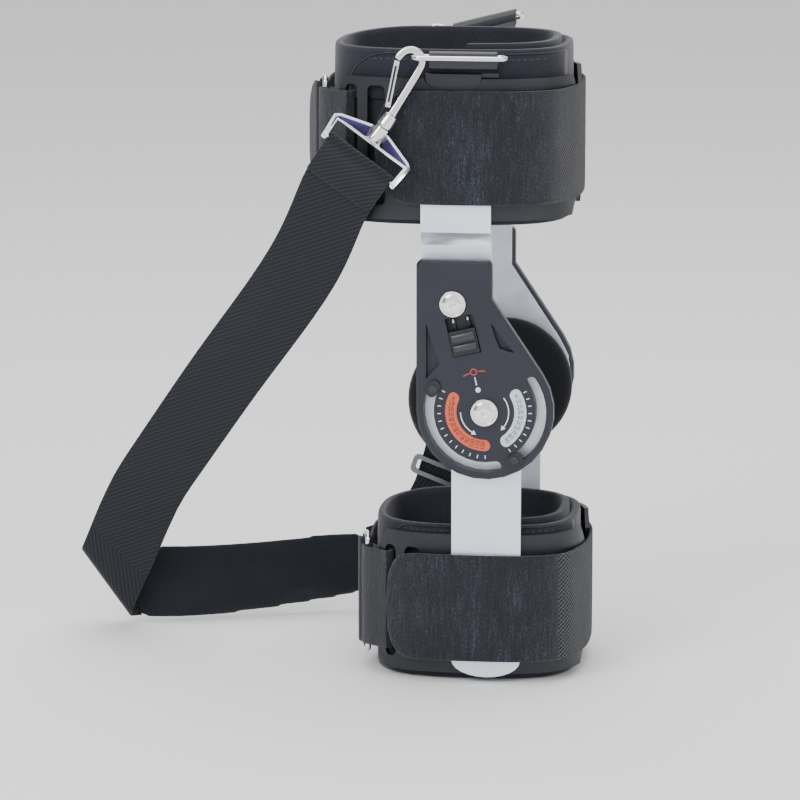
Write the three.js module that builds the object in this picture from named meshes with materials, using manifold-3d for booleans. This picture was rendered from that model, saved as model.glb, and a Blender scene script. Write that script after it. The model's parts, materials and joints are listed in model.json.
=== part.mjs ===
// Hinged knee brace for a child: thigh cuff and calf cuff joined by a lateral and a medial
// range-of-motion hinge, with a shoulder strap clipped to a wire loop on each side of the thigh cuff.
// Millimetres, +Z up, +X towards the back of the knee, -Y to the lateral side.
import * as THREE from "three";
import { mergeVertices } from "three/addons/utils/BufferGeometryUtils.js";
import Module from "manifold-3d";

const wasm = await Module();
wasm.setup();

// Driving dimensions
const HINGE_HEIGHT = 141.5;
const SEAT_GAP = 0.3;
const WALL_STEPS = 44;
const OVAL_POWER = 3;

// Cuffs: half widths of the liner's outer face, heights measured from the hinge axis.
// Frame, strap and tail follow in degrees round the cuff or as insets from the frame's edges.
const THIGH = {
  centreX: -22.5, halfX: 60, halfY: 48.3,
  linerLow: 91.8, linerHigh: 179.6, rollRise: 2.5,
  frameLow: 94.7, frameHigh: 165.6, strapInsetLow: 8.5, strapInsetHigh: 5.6,
  frameStart: 219, frameEnd: 351, freeEnd: 250, tailLift: 7,
};
const CALF = {
  centreX: -9, halfX: 52, halfY: 45.6,
  linerLow: -141.5, linerHigh: -61.7, rollRise: 2.5,
  frameLow: -137.5, frameHigh: -65.6, strapInsetLow: 7.8, strapInsetHigh: 9.1,
  frameStart: 219, frameEnd: 351, freeEnd: 236, tailLift: 0.6,
};
for (const cuff of [THIGH, CALF]) {
  cuff.strapLow = cuff.frameLow + cuff.strapInsetLow;
  cuff.strapHigh = cuff.frameHigh - cuff.strapInsetHigh;
}
const LINER_WALL = 5;
const LINER_LAYER_GAP = 0.6;
const LINER_END = 100;
const LINER_TURN = 545;
const LINER_RAMP_START = 285;
const LINER_RAMP_END = 350;
const FRAME_STANDOFF = 2;
const FRAME_WALL = 2.2;
const FRAME_CORNER = 9;
const FRAME_WINDOW_STARTS = [226, 242];
const FRAME_WINDOW_WIDTH = 10;
const FRAME_WINDOW_MARGIN = 1.5;
const FRAME_WINDOW_CORNER = 3;
const NOTCH_LEFT = -31.6;
const NOTCH_RIGHT = -2.8;
const NOTCH_DEPTH = 6.5;
const STRAP_WALL = 1.6;
const STRAP_END_CORNER = 12;
// The strap's pointed tail before the ring: degrees back, share of the lift, share of the height cut off
const STRAP_TAIL = [
  { back: 17, lift: 1, trim: 0.94 },
  { back: 9, lift: 0.55, trim: 0.25 },
  { back: 4, lift: 0.06, trim: 0 },
];
// Round a ring's leg, as shares of half a turn
const HALF_TURN_SHARES = [0, 0.17, 0.33, 0.5, 0.67, 0.83, 1];
const STUB_WALL = 1.3;
const STUB_HALF_TRIM = 2;
const RING_WIRE = 1.5;
const RING_MARGIN = 5;
const RING_TURN_GAP = 0.7;
const RING_STUB_LEG = 205;
const RING_STRAP_LEG = 192;

// Hinge stack: distances outward from the limb's mid-plane, each bar seated on its cuff's frame
const BAR_WALL = 2.5;
const CALF_BAR_SEAT = 0.8;
const LOWER_BAR_INNER = CALF.halfY + FRAME_STANDOFF + FRAME_WALL + CALF_BAR_SEAT;
const UPPER_BAR_INNER = LOWER_BAR_INNER - BAR_WALL - SEAT_GAP;
const UPPER_BAR_TOP_INNER = THIGH.halfY + FRAME_STANDOFF + FRAME_WALL + SEAT_GAP;
const PAD_RADIUS = 35.5;
const PAD_WALL = 11.5;
const PAD_OUTER = UPPER_BAR_INNER - SEAT_GAP;
const PAD_INNER = PAD_OUTER - PAD_WALL;
const PAD_CENTRES = { lateral: { x: -6, z: 2.5 }, medial: { x: 0, z: -4.5 } };
const JOGGLE_LOW = 83;
const JOGGLE_HIGH = 90;
const JOGGLE_SHIFT = 0.8;
const UPPER_BAR_TOP_INSET = 6.6;
const UPPER_BAR_TOP = THIGH.frameHigh - UPPER_BAR_TOP_INSET;
const UPPER_BAR_CORNER = 12;
const BAR_WIDTH = 35;
const LOWER_BAR_TIP = 3;
const DISC_RADIUS = 33;
const COVER_INNER = LOWER_BAR_INNER + BAR_WALL + SEAT_GAP;
const COVER_WALL = 7.6;
const COVER_FACE = COVER_INNER + COVER_WALL;
const COVER_RADIUS = 34.5;
const COVER_RIGHT = 3.3;
const COVER_TOP = 76;
const COVER_TURN = 57;
const COVER_SLANT_END = 34;
const COVER_CORNER = 3;
const COVER_CHAMFER = 1.2;
const COVER_ARC_STEPS = 8;
const BAR_INSET = 1.5;
const BOSS_LOW = 36;
const BOSS_SINK = 1;
const RECESS_DEPTH = 3;
const RECESSES = [
  [[-29.5, 44.2], [-29.5, 16.2], [-22.8, 23.9]],
  [[3, 45], [5, 38], [7.5, 32.3], [14.8, 30.2]],
];
// How far a cutting plate reaches past what it cuts
const REACH_PAST = 10;
const PIVOT_RADIUS = 6.9;
const UPPER_SCREW_RADIUS = 6.6;
const UPPER_SCREW = { x: -16, z: 54.5 };
const SCREW_HEAD = 2.2;
const SCREW_SOCKET = 2.1;
const SHANK_RADIUS = 2.6;
const SLOT_RADIUS = 28.2;
const SLOT_HALF = 2.65;
const FLEXION_SLOT = { from: 154, to: 282 };
const EXTENSION_SLOT = { from: -59, to: 34 };
const STOP_LENGTH = 8.7;
const STOP_WIDTH = 5.6;
const STOP_HEAD = 1.6;
const STOP_SHANK = 1.9;
const STOP_PARK = 2;
const SLIDER = { x: -10.2, z: 35.3, width: 13.5, height: 12.5, tilt: 13, slotRise: 7 };
const SLIDER_CLEARANCE = 0.4;
const SLIDER_POCKET = 5;
const SLIDER_PROUD = 1.2;
const SLIDER_RIDGE_PROUD = 2.4;
const SLIDER_RIDGE_INSET = 1;
const SLIDER_RIDGES = [[1.5, 4], [6.5, 9]];

// Wire loop and tab on the thigh cuff, each loop standing a little above the frame's edge
const LOOP_LENGTH = 48.4;
const LOOP_WIDTH = 10.2;
const LOOP_WIRE = 1.3;
const LOOP_CLEARANCE = 1.2;
const TAB_WIDTH = 34;
const TAB_WALL = 1.4;
const LOOPS = {
  lateral: { x: -13.2, rise: 11.2, tilt: 0, droop: 0, tabShift: 1.6 },
  medial: { x: -16.5, rise: 16.4, tilt: 14, droop: 20, tabShift: 3.1 },
};
for (const loop of Object.values(LOOPS)) {
  loop.z = THIGH.frameHigh + loop.rise;
}

// Snap hook and the bracket that holds the webbing
const HOOK_SPINE = 36.9;
const HOOK_BOW = 6;
const HOOK_WIDTH = 3.6;
const HOOK_WALL = 3.4;
const HOOK_NOSE = 3;
const HOOK_SET_BACK = 2.2;
const HOOK_BOW_DROP = 2.4;
const HOOK_BASE_RADIUS = 4.4;
const HOOK_BASE_HEIGHT = 7.5;
const HOOKS = {
  lateral: { tilt: 36, lean: 4.5, anchorRight: -8.4, anchorAlong: 36.7 },
  medial: { tilt: 2, lean: 8.5, anchorRight: -8.2, anchorAlong: 35.8 },
};
const GATE_PIVOT = { right: -4, along: 9.5 };
const GATE_TIP_SHIFT = 0.4;
const GATE_WIDTH = 2.8;
const GATE_WALL = 2.72;
const BRACKET_SHOULDER = 11;
const BRACKET_BARREL = 15.5;
const BRACKET_BARREL_RADIUS = 4;
const BRACKET_RIM = 2.6;
const BRACKET_CLEARANCE = 0.5;
const BRACKET_WALL = 3;
const BRACKET_BAR = 1.6;

// Shoulder strap
const WEBBING_WIDTH = 38;
const WEBBING_WALL = 1.4;
const WEBBING_LAP = 22;
const PADDED_WIDTH = 41;
const PADDED_WALL = 6;
const CREASE_ANGLE = 58;
const FOLD_TURN = 147;
const FOLD_RADIUS = 4.5;
const FOLD_CENTRE = new THREE.Vector3(-213, 43, 26.5);
// Centre line of the padded section, standing on its edge on the floor
const PADDED_ROUTE = [
  { x: -197, y: 56, z: 21, tall: 1 },
  { x: -170, y: 61, z: 21, tall: 1 },
  { x: -143, y: 71, z: 21.6, tall: 0.98 },
  { x: -114, y: 84, z: 23.5, tall: 0.94 },
  { x: -82, y: 96, z: 26, tall: 0.86 },
];
// Centre line and width direction of the webbing behind the cuffs, up to the medial hook
const REAR_ROUTE = [
  { x: -64, y: 101, z: 33, acrossX: -0.10, acrossZ: -1.0 },
  { x: -48, y: 102, z: 50, acrossX: 0.5, acrossZ: -0.85 },
  { x: -35, y: 98, z: 75, acrossX: 0.8, acrossZ: -0.6 },
  { x: -25, y: 91, z: 120, acrossX: 1.0, acrossZ: -0.15 },
  { x: -23, y: 81, z: 175, acrossX: 1.0, acrossZ: 0.0 },
];
const ADJUSTER_ROW = 3;
const ADJUSTER = { wall: 1.6, rim: 2.6, height: 11, lift: 1, corner: 3, play: 1.2 };
// Centre line and width direction of the webbing that hangs from the lateral hook to the fold
const FRONT_ROUTE = [
  { x: -93.9, y: -38, z: 211.2, acrossX: 0.83, acrossZ: -0.55 },
  { x: -143.8, y: -2, z: 142.2, acrossX: 0.83, acrossZ: -0.55 },
  { x: -189, y: 28, z: 78, acrossX: 0.89, acrossZ: -0.45 },
];

const CLOTH = { color: 0x2a2e38, roughness: 0.95, metalness: 0 };
const FOAM = { color: 0x22242c, roughness: 1, metalness: 0 };
const SHELL = { color: 0x3a3e48, roughness: 0.55, metalness: 0 };
const COVER = { color: 0x3e4354, roughness: 0.5, metalness: 0 };
const ALUMINIUM = { color: 0xcdd4dc, roughness: 0.35, metalness: 1 };
const NICKEL = { color: 0xd8d8d8, roughness: 0.15, metalness: 1 };
const DARK = { color: 0x1c1e24, roughness: 0.6, metalness: 0 };
const VINYL = { color: 0x2c303a, roughness: 0.4, metalness: 0 };

const SIDES = ["lateral", "medial"];
const group = new THREE.Group();

function add(name, geometry, finish) {
  const mesh = new THREE.Mesh(geometry, new THREE.MeshStandardMaterial(finish));
  mesh.name = name;
  group.add(mesh);
}

// Solid modelling on merged closed meshes
function solid(geometry) {
  const bare = geometry.clone();
  for (const key of ["normal", "uv"]) {
    bare.deleteAttribute(key);
  }
  const merged = mergeVertices(bare, 1e-4);
  return new wasm.Manifold(new wasm.Mesh({
    numProp: 3,
    vertProperties: new Float32Array(merged.attributes.position.array),
    triVerts: new Uint32Array(merged.index.array),
  }));
}

function surface(body) {
  const mesh = body.getMesh();
  const geometry = new THREE.BufferGeometry();
  geometry.setAttribute("position", new THREE.BufferAttribute(mesh.vertProperties, 3));
  geometry.setIndex(new THREE.BufferAttribute(mesh.triVerts, 1));
  return geometry;
}

function cut(geometry, ...tools) {
  return surface(tools.reduce((body, tool) => body.subtract(solid(tool)), solid(geometry)));
}

function join(geometry, ...others) {
  return surface(others.reduce((body, other) => body.add(solid(other)), solid(geometry)));
}

function common(geometry, other) {
  return surface(solid(geometry).intersect(solid(other)));
}

// The medial side is the lateral side seen in the limb's mid-plane
function onSide(side, geometry) {
  if (side === "lateral") {
    return geometry;
  }
  const mirrored = mergeVertices(geometry, 1e-5);
  mirrored.applyMatrix4(new THREE.Matrix4().makeScale(1, -1, 1));
  const index = mirrored.index.array;
  for (let i = 0; i < index.length; i += 3) {
    [index[i], index[i + 1]] = [index[i + 1], index[i]];
  }
  return mirrored;
}

// A flat plate drawn in X and height, standing between two distances from the mid-plane
function plate(shape, inner, outer, bevel = 0, curveSegments = 6) {
  const geometry = new THREE.ExtrudeGeometry(shape, {
    depth: outer - inner - 2 * bevel,
    bevelEnabled: bevel > 0,
    bevelThickness: bevel,
    bevelSize: bevel,
    bevelOffset: -bevel,
    bevelSegments: 1,
    curveSegments,
  });
  geometry.translate(0, HINGE_HEIGHT, inner + bevel);
  return geometry.rotateX(Math.PI / 2);
}

// A round piece turned about an axis that points outward through x, z
function turned(profile, x, z, inner, segments = 14) {
  const points = profile.map(([radius, out]) => new THREE.Vector2(radius, out));
  const geometry = new THREE.LatheGeometry(points, segments);
  return geometry.rotateX(Math.PI).translate(x, -inner, HINGE_HEIGHT + z);
}

function polar(radius, degrees) {
  const angle = THREE.MathUtils.degToRad(degrees);
  return new THREE.Vector2(radius * Math.cos(angle), radius * Math.sin(angle));
}

// A closed skin over a run of sections, each a ring of the same number of points
function loft(sections) {
  const count = sections[0].length;
  const points = sections.flat();
  const index = [];
  for (let s = 0; s + 1 < sections.length; s += 1) {
    for (let i = 0; i < count; i += 1) {
      const a = s * count + i;
      const b = s * count + (i + 1) % count;
      index.push(a, b, b + count, a, b + count, a + count);
    }
  }
  const last = (sections.length - 1) * count;
  for (let i = 1; i + 1 < count; i += 1) {
    index.push(0, i + 1, i, last, last + i, last + i + 1);
  }
  const geometry = new THREE.BufferGeometry();
  geometry.setAttribute("position", new THREE.BufferAttribute(
    new Float32Array(points.flatMap((point) => point.toArray())), 3));
  geometry.setIndex(index);
  return signedVolume(geometry) < 0 ? turnedOut(geometry) : geometry;
}

function signedVolume(geometry) {
  const at = (i) => new THREE.Vector3().fromBufferAttribute(geometry.attributes.position, i);
  const index = geometry.index.array;
  let volume = 0;
  for (let i = 0; i < index.length; i += 3) {
    volume += at(index[i]).dot(at(index[i + 1]).cross(at(index[i + 2])));
  }
  return volume / 6;
}

function turnedOut(geometry) {
  const index = Array.from(geometry.index.array);
  for (let i = 0; i < index.length; i += 3) {
    [index[i], index[i + 1]] = [index[i + 1], index[i]];
  }
  geometry.setIndex(index);
  return geometry;
}

// Cuff walls
function ovalPoint(cuff, degrees, offset, z) {
  const angle = THREE.MathUtils.degToRad(degrees);
  const bend = (value) => Math.sign(value) * Math.abs(value) ** (2 / OVAL_POWER);
  return new THREE.Vector3(
    cuff.centreX + (cuff.halfX + offset) * bend(Math.cos(angle)),
    (cuff.halfY + offset) * bend(Math.sin(angle)),
    HINGE_HEIGHT + z,
  );
}

// A wall along a path of stations, each with an angle, an offset of its mid surface and its heights
function wall(cuff, stations, thickness) {
  const middles = stations.map((s) => ovalPoint(cuff, s.angle, s.offset, 0));
  const sections = stations.map((s, i) => {
    const before = middles[Math.max(i - 1, 0)];
    const after = middles[Math.min(i + 1, middles.length - 1)];
    const along = after.clone().sub(before).setZ(0).normalize();
    const out = new THREE.Vector3(along.y, -along.x, 0).multiplyScalar(thickness / 2);
    const low = middles[i].clone().setZ(HINGE_HEIGHT + s.low);
    const high = middles[i].clone().setZ(HINGE_HEIGHT + s.high);
    return [low.clone().sub(out), low.clone().add(out), high.clone().add(out), high.clone().sub(out)];
  });
  return loft(sections);
}

function smooth(share) {
  const t = THREE.MathUtils.clamp(share, 0, 1);
  return t * t * (3 - 2 * t);
}

// The liner is one padded sheet rolled one and a half turns, its inner turn standing higher
function liner(cuff) {
  const pitch = LINER_WALL + LINER_LAYER_GAP;
  const steps = Math.round(WALL_STEPS * LINER_TURN / 360);
  const stations = [];
  for (let i = 0; i <= steps; i += 1) {
    const back = LINER_TURN * i / steps;
    const inner = smooth((back - LINER_RAMP_START) / (LINER_RAMP_END - LINER_RAMP_START));
    stations.push({
      angle: LINER_END - back,
      offset: -LINER_WALL / 2 - pitch * inner,
      low: cuff.linerLow,
      high: cuff.linerHigh + cuff.rollRise * inner,
    });
  }
  return wall(cuff, stations, LINER_WALL);
}

// A rounded rectangle centred on the drawing plane's origin
function roundedRectangle(width, height, corner) {
  const x = width / 2;
  const y = height / 2;
  const shape = new THREE.Shape();
  shape.moveTo(-x + corner, -y);
  shape.lineTo(x - corner, -y);
  shape.absarc(x - corner, -y + corner, corner, -Math.PI / 2, 0);
  shape.lineTo(x, y - corner);
  shape.absarc(x - corner, y - corner, corner, 0, Math.PI / 2);
  shape.lineTo(-x + corner, y);
  shape.absarc(-x + corner, y - corner, corner, Math.PI / 2, Math.PI);
  shape.lineTo(-x, -y + corner);
  shape.absarc(-x + corner, -y + corner, corner, Math.PI, Math.PI * 1.5);
  return shape;
}

function cornerDrop(distance, corner) {
  if (distance >= corner) {
    return 0;
  }
  return corner - Math.sqrt(corner * corner - (corner - distance) ** 2);
}

function windowCutter(cuff, start) {
  const height = cuff.strapHigh - cuff.strapLow + 2 * FRAME_WINDOW_MARGIN;
  const from = ovalPoint(cuff, start, FRAME_STANDOFF, 0);
  const to = ovalPoint(cuff, start + FRAME_WINDOW_WIDTH, FRAME_STANDOFF, 0);
  const width = from.distanceTo(to);
  const depth = 4 * FRAME_WALL;
  const cutter = new THREE.ExtrudeGeometry(
    roundedRectangle(width, height, FRAME_WINDOW_CORNER),
    { depth, bevelEnabled: false, curveSegments: 4 },
  );
  cutter.translate(0, 0, -depth / 2).rotateX(Math.PI / 2);
  cutter.rotateZ(Math.atan2(to.y - from.y, to.x - from.x));
  const middle = from.add(to).multiplyScalar(0.5);
  return cutter.translate(middle.x, middle.y, HINGE_HEIGHT + (cuff.strapLow + cuff.strapHigh) / 2);
}

function frame(cuff, notched) {
  const steps = Math.round(WALL_STEPS * (cuff.frameEnd - cuff.frameStart) / 360);
  const reach = (cuff.halfX + cuff.halfY) / 2 * Math.PI / 180;
  const stations = [];
  for (let i = 0; i <= steps; i += 1) {
    const angle = cuff.frameStart + (cuff.frameEnd - cuff.frameStart) * i / steps;
    const edge = Math.min(angle - cuff.frameStart, cuff.frameEnd - angle) * reach;
    const drop = cornerDrop(edge, FRAME_CORNER);
    stations.push({
      angle,
      offset: FRAME_STANDOFF + FRAME_WALL / 2,
      low: cuff.frameLow + drop,
      high: cuff.frameHigh - drop,
    });
  }
  const cutters = FRAME_WINDOW_STARTS.map((start) => windowCutter(cuff, start));
  if (notched) {
    cutters.push(notchCutter(cuff));
  }
  return cut(wall(cuff, stations, FRAME_WALL), ...cutters);
}

function notchCutter(cuff) {
  const middle = (NOTCH_LEFT + NOTCH_RIGHT) / 2;
  const half = (NOTCH_RIGHT - NOTCH_LEFT) / 2;
  const shape = new THREE.Shape();
  shape.absellipse(middle, cuff.frameHigh, half, NOTCH_DEPTH, Math.PI, 2 * Math.PI);
  shape.lineTo(middle + half, cuff.frameHigh + NOTCH_DEPTH);
  shape.lineTo(middle - half, cuff.frameHigh + NOTCH_DEPTH);
  return plate(shape, cuff.halfY / 2, cuff.halfY * 2);
}

// Outer face and far edge of the bar that lies under a cuff's strap
function barUnder(cuff) {
  const upper = { outer: UPPER_BAR_TOP_INNER + BAR_WALL, edge: BAR_INSET - COVER_RADIUS + BAR_WIDTH };
  const lower = { outer: LOWER_BAR_INNER + BAR_WALL, edge: BAR_WIDTH / 2 };
  return cuff === THIGH ? upper : lower;
}

// Distance that lifts a strap over the bar in front, and lets it hug the cuff at its ends
function strapOffset(cuff, angle) {
  const bar = barUnder(cuff);
  const rest = FRAME_STANDOFF + FRAME_WALL + SEAT_GAP + STRAP_WALL / 2;
  const share = (bar.edge - cuff.centreX) / (cuff.halfX + rest + BAR_WALL);
  const needed = bar.outer + SEAT_GAP + STRAP_WALL / 2;
  const overBar = needed / (1 - share ** OVAL_POWER) ** (1 / OVAL_POWER) - cuff.halfY;
  const sine = Math.abs(Math.sin(THREE.MathUtils.degToRad(angle)));
  return rest + (overBar - rest) * smooth((sine - 0.35) / 0.5);
}

function ringLeg(cuff, angle) {
  return ovalPoint(cuff, angle, RING_WIRE + FRAME_STANDOFF + FRAME_WALL, 0);
}

// The strap turns back through the ring, runs round the back of the limb and ends on the lateral face
function strap(cuff) {
  const stations = [];
  const rest = FRAME_STANDOFF + FRAME_WALL + SEAT_GAP + STRAP_WALL / 2;
  const middle = (cuff.strapLow + cuff.strapHigh) / 2;
  const half = (cuff.strapHigh - cuff.strapLow) / 2;
  const legOffset = RING_WIRE + FRAME_STANDOFF + FRAME_WALL;
  const turn = RING_WIRE + RING_TURN_GAP + STRAP_WALL / 2;
  const reach = cuff.halfX * Math.PI / 180;
  const station = (angle, offset, trim = 0) => stations.push({
    angle, offset, low: middle - half + trim, high: middle + half - trim,
  });
  for (const { back, lift, trim } of STRAP_TAIL) {
    station(RING_STRAP_LEG - back, legOffset + cuff.tailLift * lift + turn, half * trim);
  }
  for (const share of HALF_TURN_SHARES) {
    const bend = Math.PI * share;
    station(RING_STRAP_LEG + turn / reach * Math.sin(bend), legOffset + turn * Math.cos(bend));
  }
  const end = cuff.freeEnd;
  const inner = legOffset - turn;
  const steps = Math.round(WALL_STEPS * (RING_STRAP_LEG + 360 - end) / 360);
  for (let i = 1; i < steps; i += 1) {
    const angle = RING_STRAP_LEG - (RING_STRAP_LEG + 360 - end) * i / steps;
    const settle = smooth(i / 4);
    const offset = inner + (strapOffset(cuff, angle) - inner) * settle;
    const edge = (angle + 360 - end) * reach;
    station(angle, Math.max(offset, rest * settle), cornerDrop(edge, STRAP_END_CORNER));
  }
  station(end - 360, strapOffset(cuff, end), STRAP_END_CORNER);
  return wall(cuff, stations, STRAP_WALL);
}

// A closed band of webbing through the frame's window and round the ring's near leg
function stub(cuff) {
  const outer = FRAME_STANDOFF + FRAME_WALL + SEAT_GAP + STUB_WALL / 2;
  const inner = SEAT_GAP + STUB_WALL / 2;
  const legOffset = RING_WIRE + FRAME_STANDOFF + FRAME_WALL;
  const turn = RING_WIRE + RING_TURN_GAP + STUB_WALL / 2;
  const reach = cuff.halfX * Math.PI / 180;
  const low = cuff.strapLow + STUB_HALF_TRIM;
  const high = cuff.strapHigh - STUB_HALF_TRIM;
  const windowMiddle = FRAME_WINDOW_STARTS[0] + FRAME_WINDOW_WIDTH * 0.36;
  const route = [
    [windowMiddle + 1.1, (outer + inner) / 2],
    [windowMiddle, outer],
    [cuff.frameStart + 4, outer],
    [RING_STUB_LEG + 5, Math.max(outer, legOffset + turn * 0.95)],
    ...HALF_TURN_SHARES.map((share) => [
      RING_STUB_LEG - turn / reach * Math.sin(Math.PI * share),
      legOffset + turn * Math.cos(Math.PI * share),
    ]),
    [RING_STUB_LEG + 5, Math.min(legOffset - turn, 2.4)],
    [cuff.frameStart + 1, inner],
    [windowMiddle, inner],
    [windowMiddle + 1.1, (outer + inner) / 2],
  ];
  const middles = route.map(([angle, offset]) => ovalPoint(cuff, angle, offset, 0));
  const count = middles.length - 1;
  const sections = middles.map((middle, i) => {
    const before = middles[(i - 1 + count) % count];
    const after = middles[(i + 1) % count];
    const along = after.clone().sub(before).setZ(0).normalize();
    const out = new THREE.Vector3(along.y, -along.x, 0).multiplyScalar(STUB_WALL / 2);
    return [low, high].flatMap((z, row) => {
      const pair = [middle.clone().sub(out), middle.clone().add(out)];
      pair.forEach((point) => point.setZ(HINGE_HEIGHT + z));
      return row === 0 ? pair : pair.reverse();
    });
  });
  return closedLoft(sections.slice(0, -1));
}

// A skin over sections that run round and meet themselves
function closedLoft(sections) {
  const count = sections[0].length;
  const index = [];
  sections.forEach((section, s) => {
    const next = (s + 1) % sections.length;
    for (let i = 0; i < count; i += 1) {
      const j = (i + 1) % count;
      index.push(s * count + i, s * count + j, next * count + j);
      index.push(s * count + i, next * count + j, next * count + i);
    }
  });
  const geometry = new THREE.BufferGeometry();
  geometry.setAttribute("position", new THREE.BufferAttribute(
    new Float32Array(sections.flat().flatMap((point) => point.toArray())), 3));
  geometry.setIndex(index);
  return signedVolume(geometry) < 0 ? turnedOut(geometry) : geometry;
}

// A wire bent into a closed rounded rectangle, in the plane of the directions right and up
function wireRing(centre, right, up, width, height, corner, wire, sides = 6) {
  const outline = roundedRectangle(width, height, corner).getPoints(3);
  outline.pop();
  const out = right.clone().cross(up).normalize();
  const sections = outline.map((point, i) => {
    const before = outline[(i - 1 + outline.length) % outline.length];
    const after = outline[(i + 1) % outline.length];
    const along = after.clone().sub(before).normalize();
    const side = right.clone().multiplyScalar(along.y).addScaledVector(up, -along.x);
    const middle = centre.clone().addScaledVector(right, point.x).addScaledVector(up, point.y);
    return Array.from({ length: sides }, (_, k) => {
      const turn = 2 * Math.PI * (k + 0.5) / sides;
      return middle.clone().addScaledVector(side, wire * Math.cos(turn))
        .addScaledVector(out, wire * Math.sin(turn));
    });
  });
  return closedLoft(sections);
}

function strapRing(cuff) {
  const near = ringLeg(cuff, RING_STUB_LEG);
  const far = ringLeg(cuff, RING_STRAP_LEG);
  const middleZ = HINGE_HEIGHT + (cuff.strapLow + cuff.strapHigh) / 2;
  const centre = near.clone().add(far).multiplyScalar(0.5).setZ(middleZ);
  const right = far.clone().sub(near).setZ(0);
  const width = right.length();
  const height = cuff.strapHigh - cuff.strapLow + RING_MARGIN;
  return wireRing(centre, right.normalize(), new THREE.Vector3(0, 0, 1), width, height, 3, RING_WIRE);
}

function buildCuff(prefix, cuff) {
  add(`${prefix}_liner`, liner(cuff), FOAM);
  for (const side of SIDES) {
    add(`${prefix}_frame_${side}`, onSide(side, frame(cuff, cuff === THIGH)), SHELL);
  }
  add(`${prefix}_strap`, strap(cuff), CLOTH);
  add(`${prefix}_strap_stub`, stub(cuff), CLOTH);
  add(`${prefix}_strap_ring`, strapRing(cuff), NICKEL);
}

// Hinge outlines: a disc with a tapering neck that stops at a flat top
function coverOutline(inset) {
  const radius = COVER_RADIUS - inset;
  const left = -radius;
  const right = COVER_RIGHT - inset;
  const top = COVER_TOP - inset;
  const corner = COVER_CORNER;
  const slantEnd = polar(radius, COVER_SLANT_END);
  const slantAngle = THREE.MathUtils.degToRad(COVER_SLANT_END);
  const shape = new THREE.Shape();
  shape.moveTo(slantEnd.x, slantEnd.y);
  shape.lineTo(right, COVER_TURN);
  shape.lineTo(right, top - corner);
  shape.absarc(right - corner, top - corner, corner, 0, Math.PI / 2);
  shape.lineTo(left + corner, top);
  shape.absarc(left + corner, top - corner, corner, Math.PI / 2, Math.PI);
  shape.lineTo(left, 0);
  shape.absarc(0, 0, radius, Math.PI, slantAngle + 2 * Math.PI);
  return shape;
}

function circle(radius, x = 0, y = 0) {
  const shape = new THREE.Shape();
  shape.absarc(x, y, radius, 0, 2 * Math.PI);
  return shape;
}

function polygon(points) {
  return new THREE.Shape(points.map(([x, y]) => new THREE.Vector2(x, y)));
}

function arcSlot(slot) {
  const from = THREE.MathUtils.degToRad(slot.from);
  const to = THREE.MathUtils.degToRad(slot.to);
  const start = polar(SLOT_RADIUS, slot.from);
  const end = polar(SLOT_RADIUS, slot.to);
  const shape = new THREE.Shape();
  shape.absarc(0, 0, SLOT_RADIUS + SLOT_HALF, from, to);
  shape.absarc(end.x, end.y, SLOT_HALF, to, to + Math.PI);
  shape.absarc(0, 0, SLOT_RADIUS - SLOT_HALF, to, from, true);
  shape.absarc(start.x, start.y, SLOT_HALF, from + Math.PI, from + 2 * Math.PI);
  return shape;
}

function sliderShape(width, low, high) {
  const tilt = THREE.MathUtils.degToRad(-SLIDER.tilt);
  const turn = ([x, y]) => new THREE.Vector2(x, y).rotateAround(new THREE.Vector2(), -tilt)
    .add(new THREE.Vector2(SLIDER.x, SLIDER.z));
  return new THREE.Shape([[-width, low], [width, low], [width, high], [-width, high]].map(turn));
}

// A plate that passes right through the hinge stack
function through(shape, curveSegments) {
  return plate(shape, UPPER_BAR_INNER - REACH_PAST, COVER_FACE + REACH_PAST, 0, curveSegments);
}

function hingeCover() {
  const body = plate(coverOutline(0), COVER_INNER, COVER_FACE, COVER_CHAMFER, COVER_ARC_STEPS);
  const side = COVER_RADIUS + REACH_PAST;
  const top = COVER_TOP + REACH_PAST;
  const boss = common(
    plate(coverOutline(BAR_INSET), LOWER_BAR_INNER, COVER_INNER + BOSS_SINK),
    through(polygon([[-side, BOSS_LOW], [side, BOSS_LOW], [side, top], [-side, top]])),
  );
  const pocket = (shape, depth) => plate(shape, COVER_FACE - depth, COVER_FACE + REACH_PAST);
  return cut(
    join(body, boss),
    through(arcSlot(FLEXION_SLOT)),
    through(arcSlot(EXTENSION_SLOT)),
    through(circle(SHANK_RADIUS + SEAT_GAP)),
    through(circle(SHANK_RADIUS + SEAT_GAP, UPPER_SCREW.x, UPPER_SCREW.z)),
    pocket(sliderShape(
      SLIDER.width / 2 + SLIDER_CLEARANCE,
      -SLIDER.height / 2 - SLIDER_CLEARANCE,
      SLIDER.height / 2 + SLIDER.slotRise,
    ), SLIDER_POCKET),
    ...RECESSES.map((points) => pocket(polygon(points), RECESS_DEPTH)),
  );
}

function domeScrew(x, z, radius, inner, outer) {
  const dome = outer + SCREW_HEAD;
  const socket = radius * 0.42;
  return turned([
    [0, 0],
    [SHANK_RADIUS, 0],
    [SHANK_RADIUS, outer - inner + SEAT_GAP],
    [radius, outer - inner + SEAT_GAP],
    [radius * 0.94, outer - inner + SCREW_HEAD * 0.6],
    [radius * 0.6, dome - inner],
    [socket, dome - inner],
    [socket, dome - inner - SCREW_SOCKET],
    [0, dome - inner - SCREW_SOCKET],
  ], x, z, inner);
}

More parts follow.
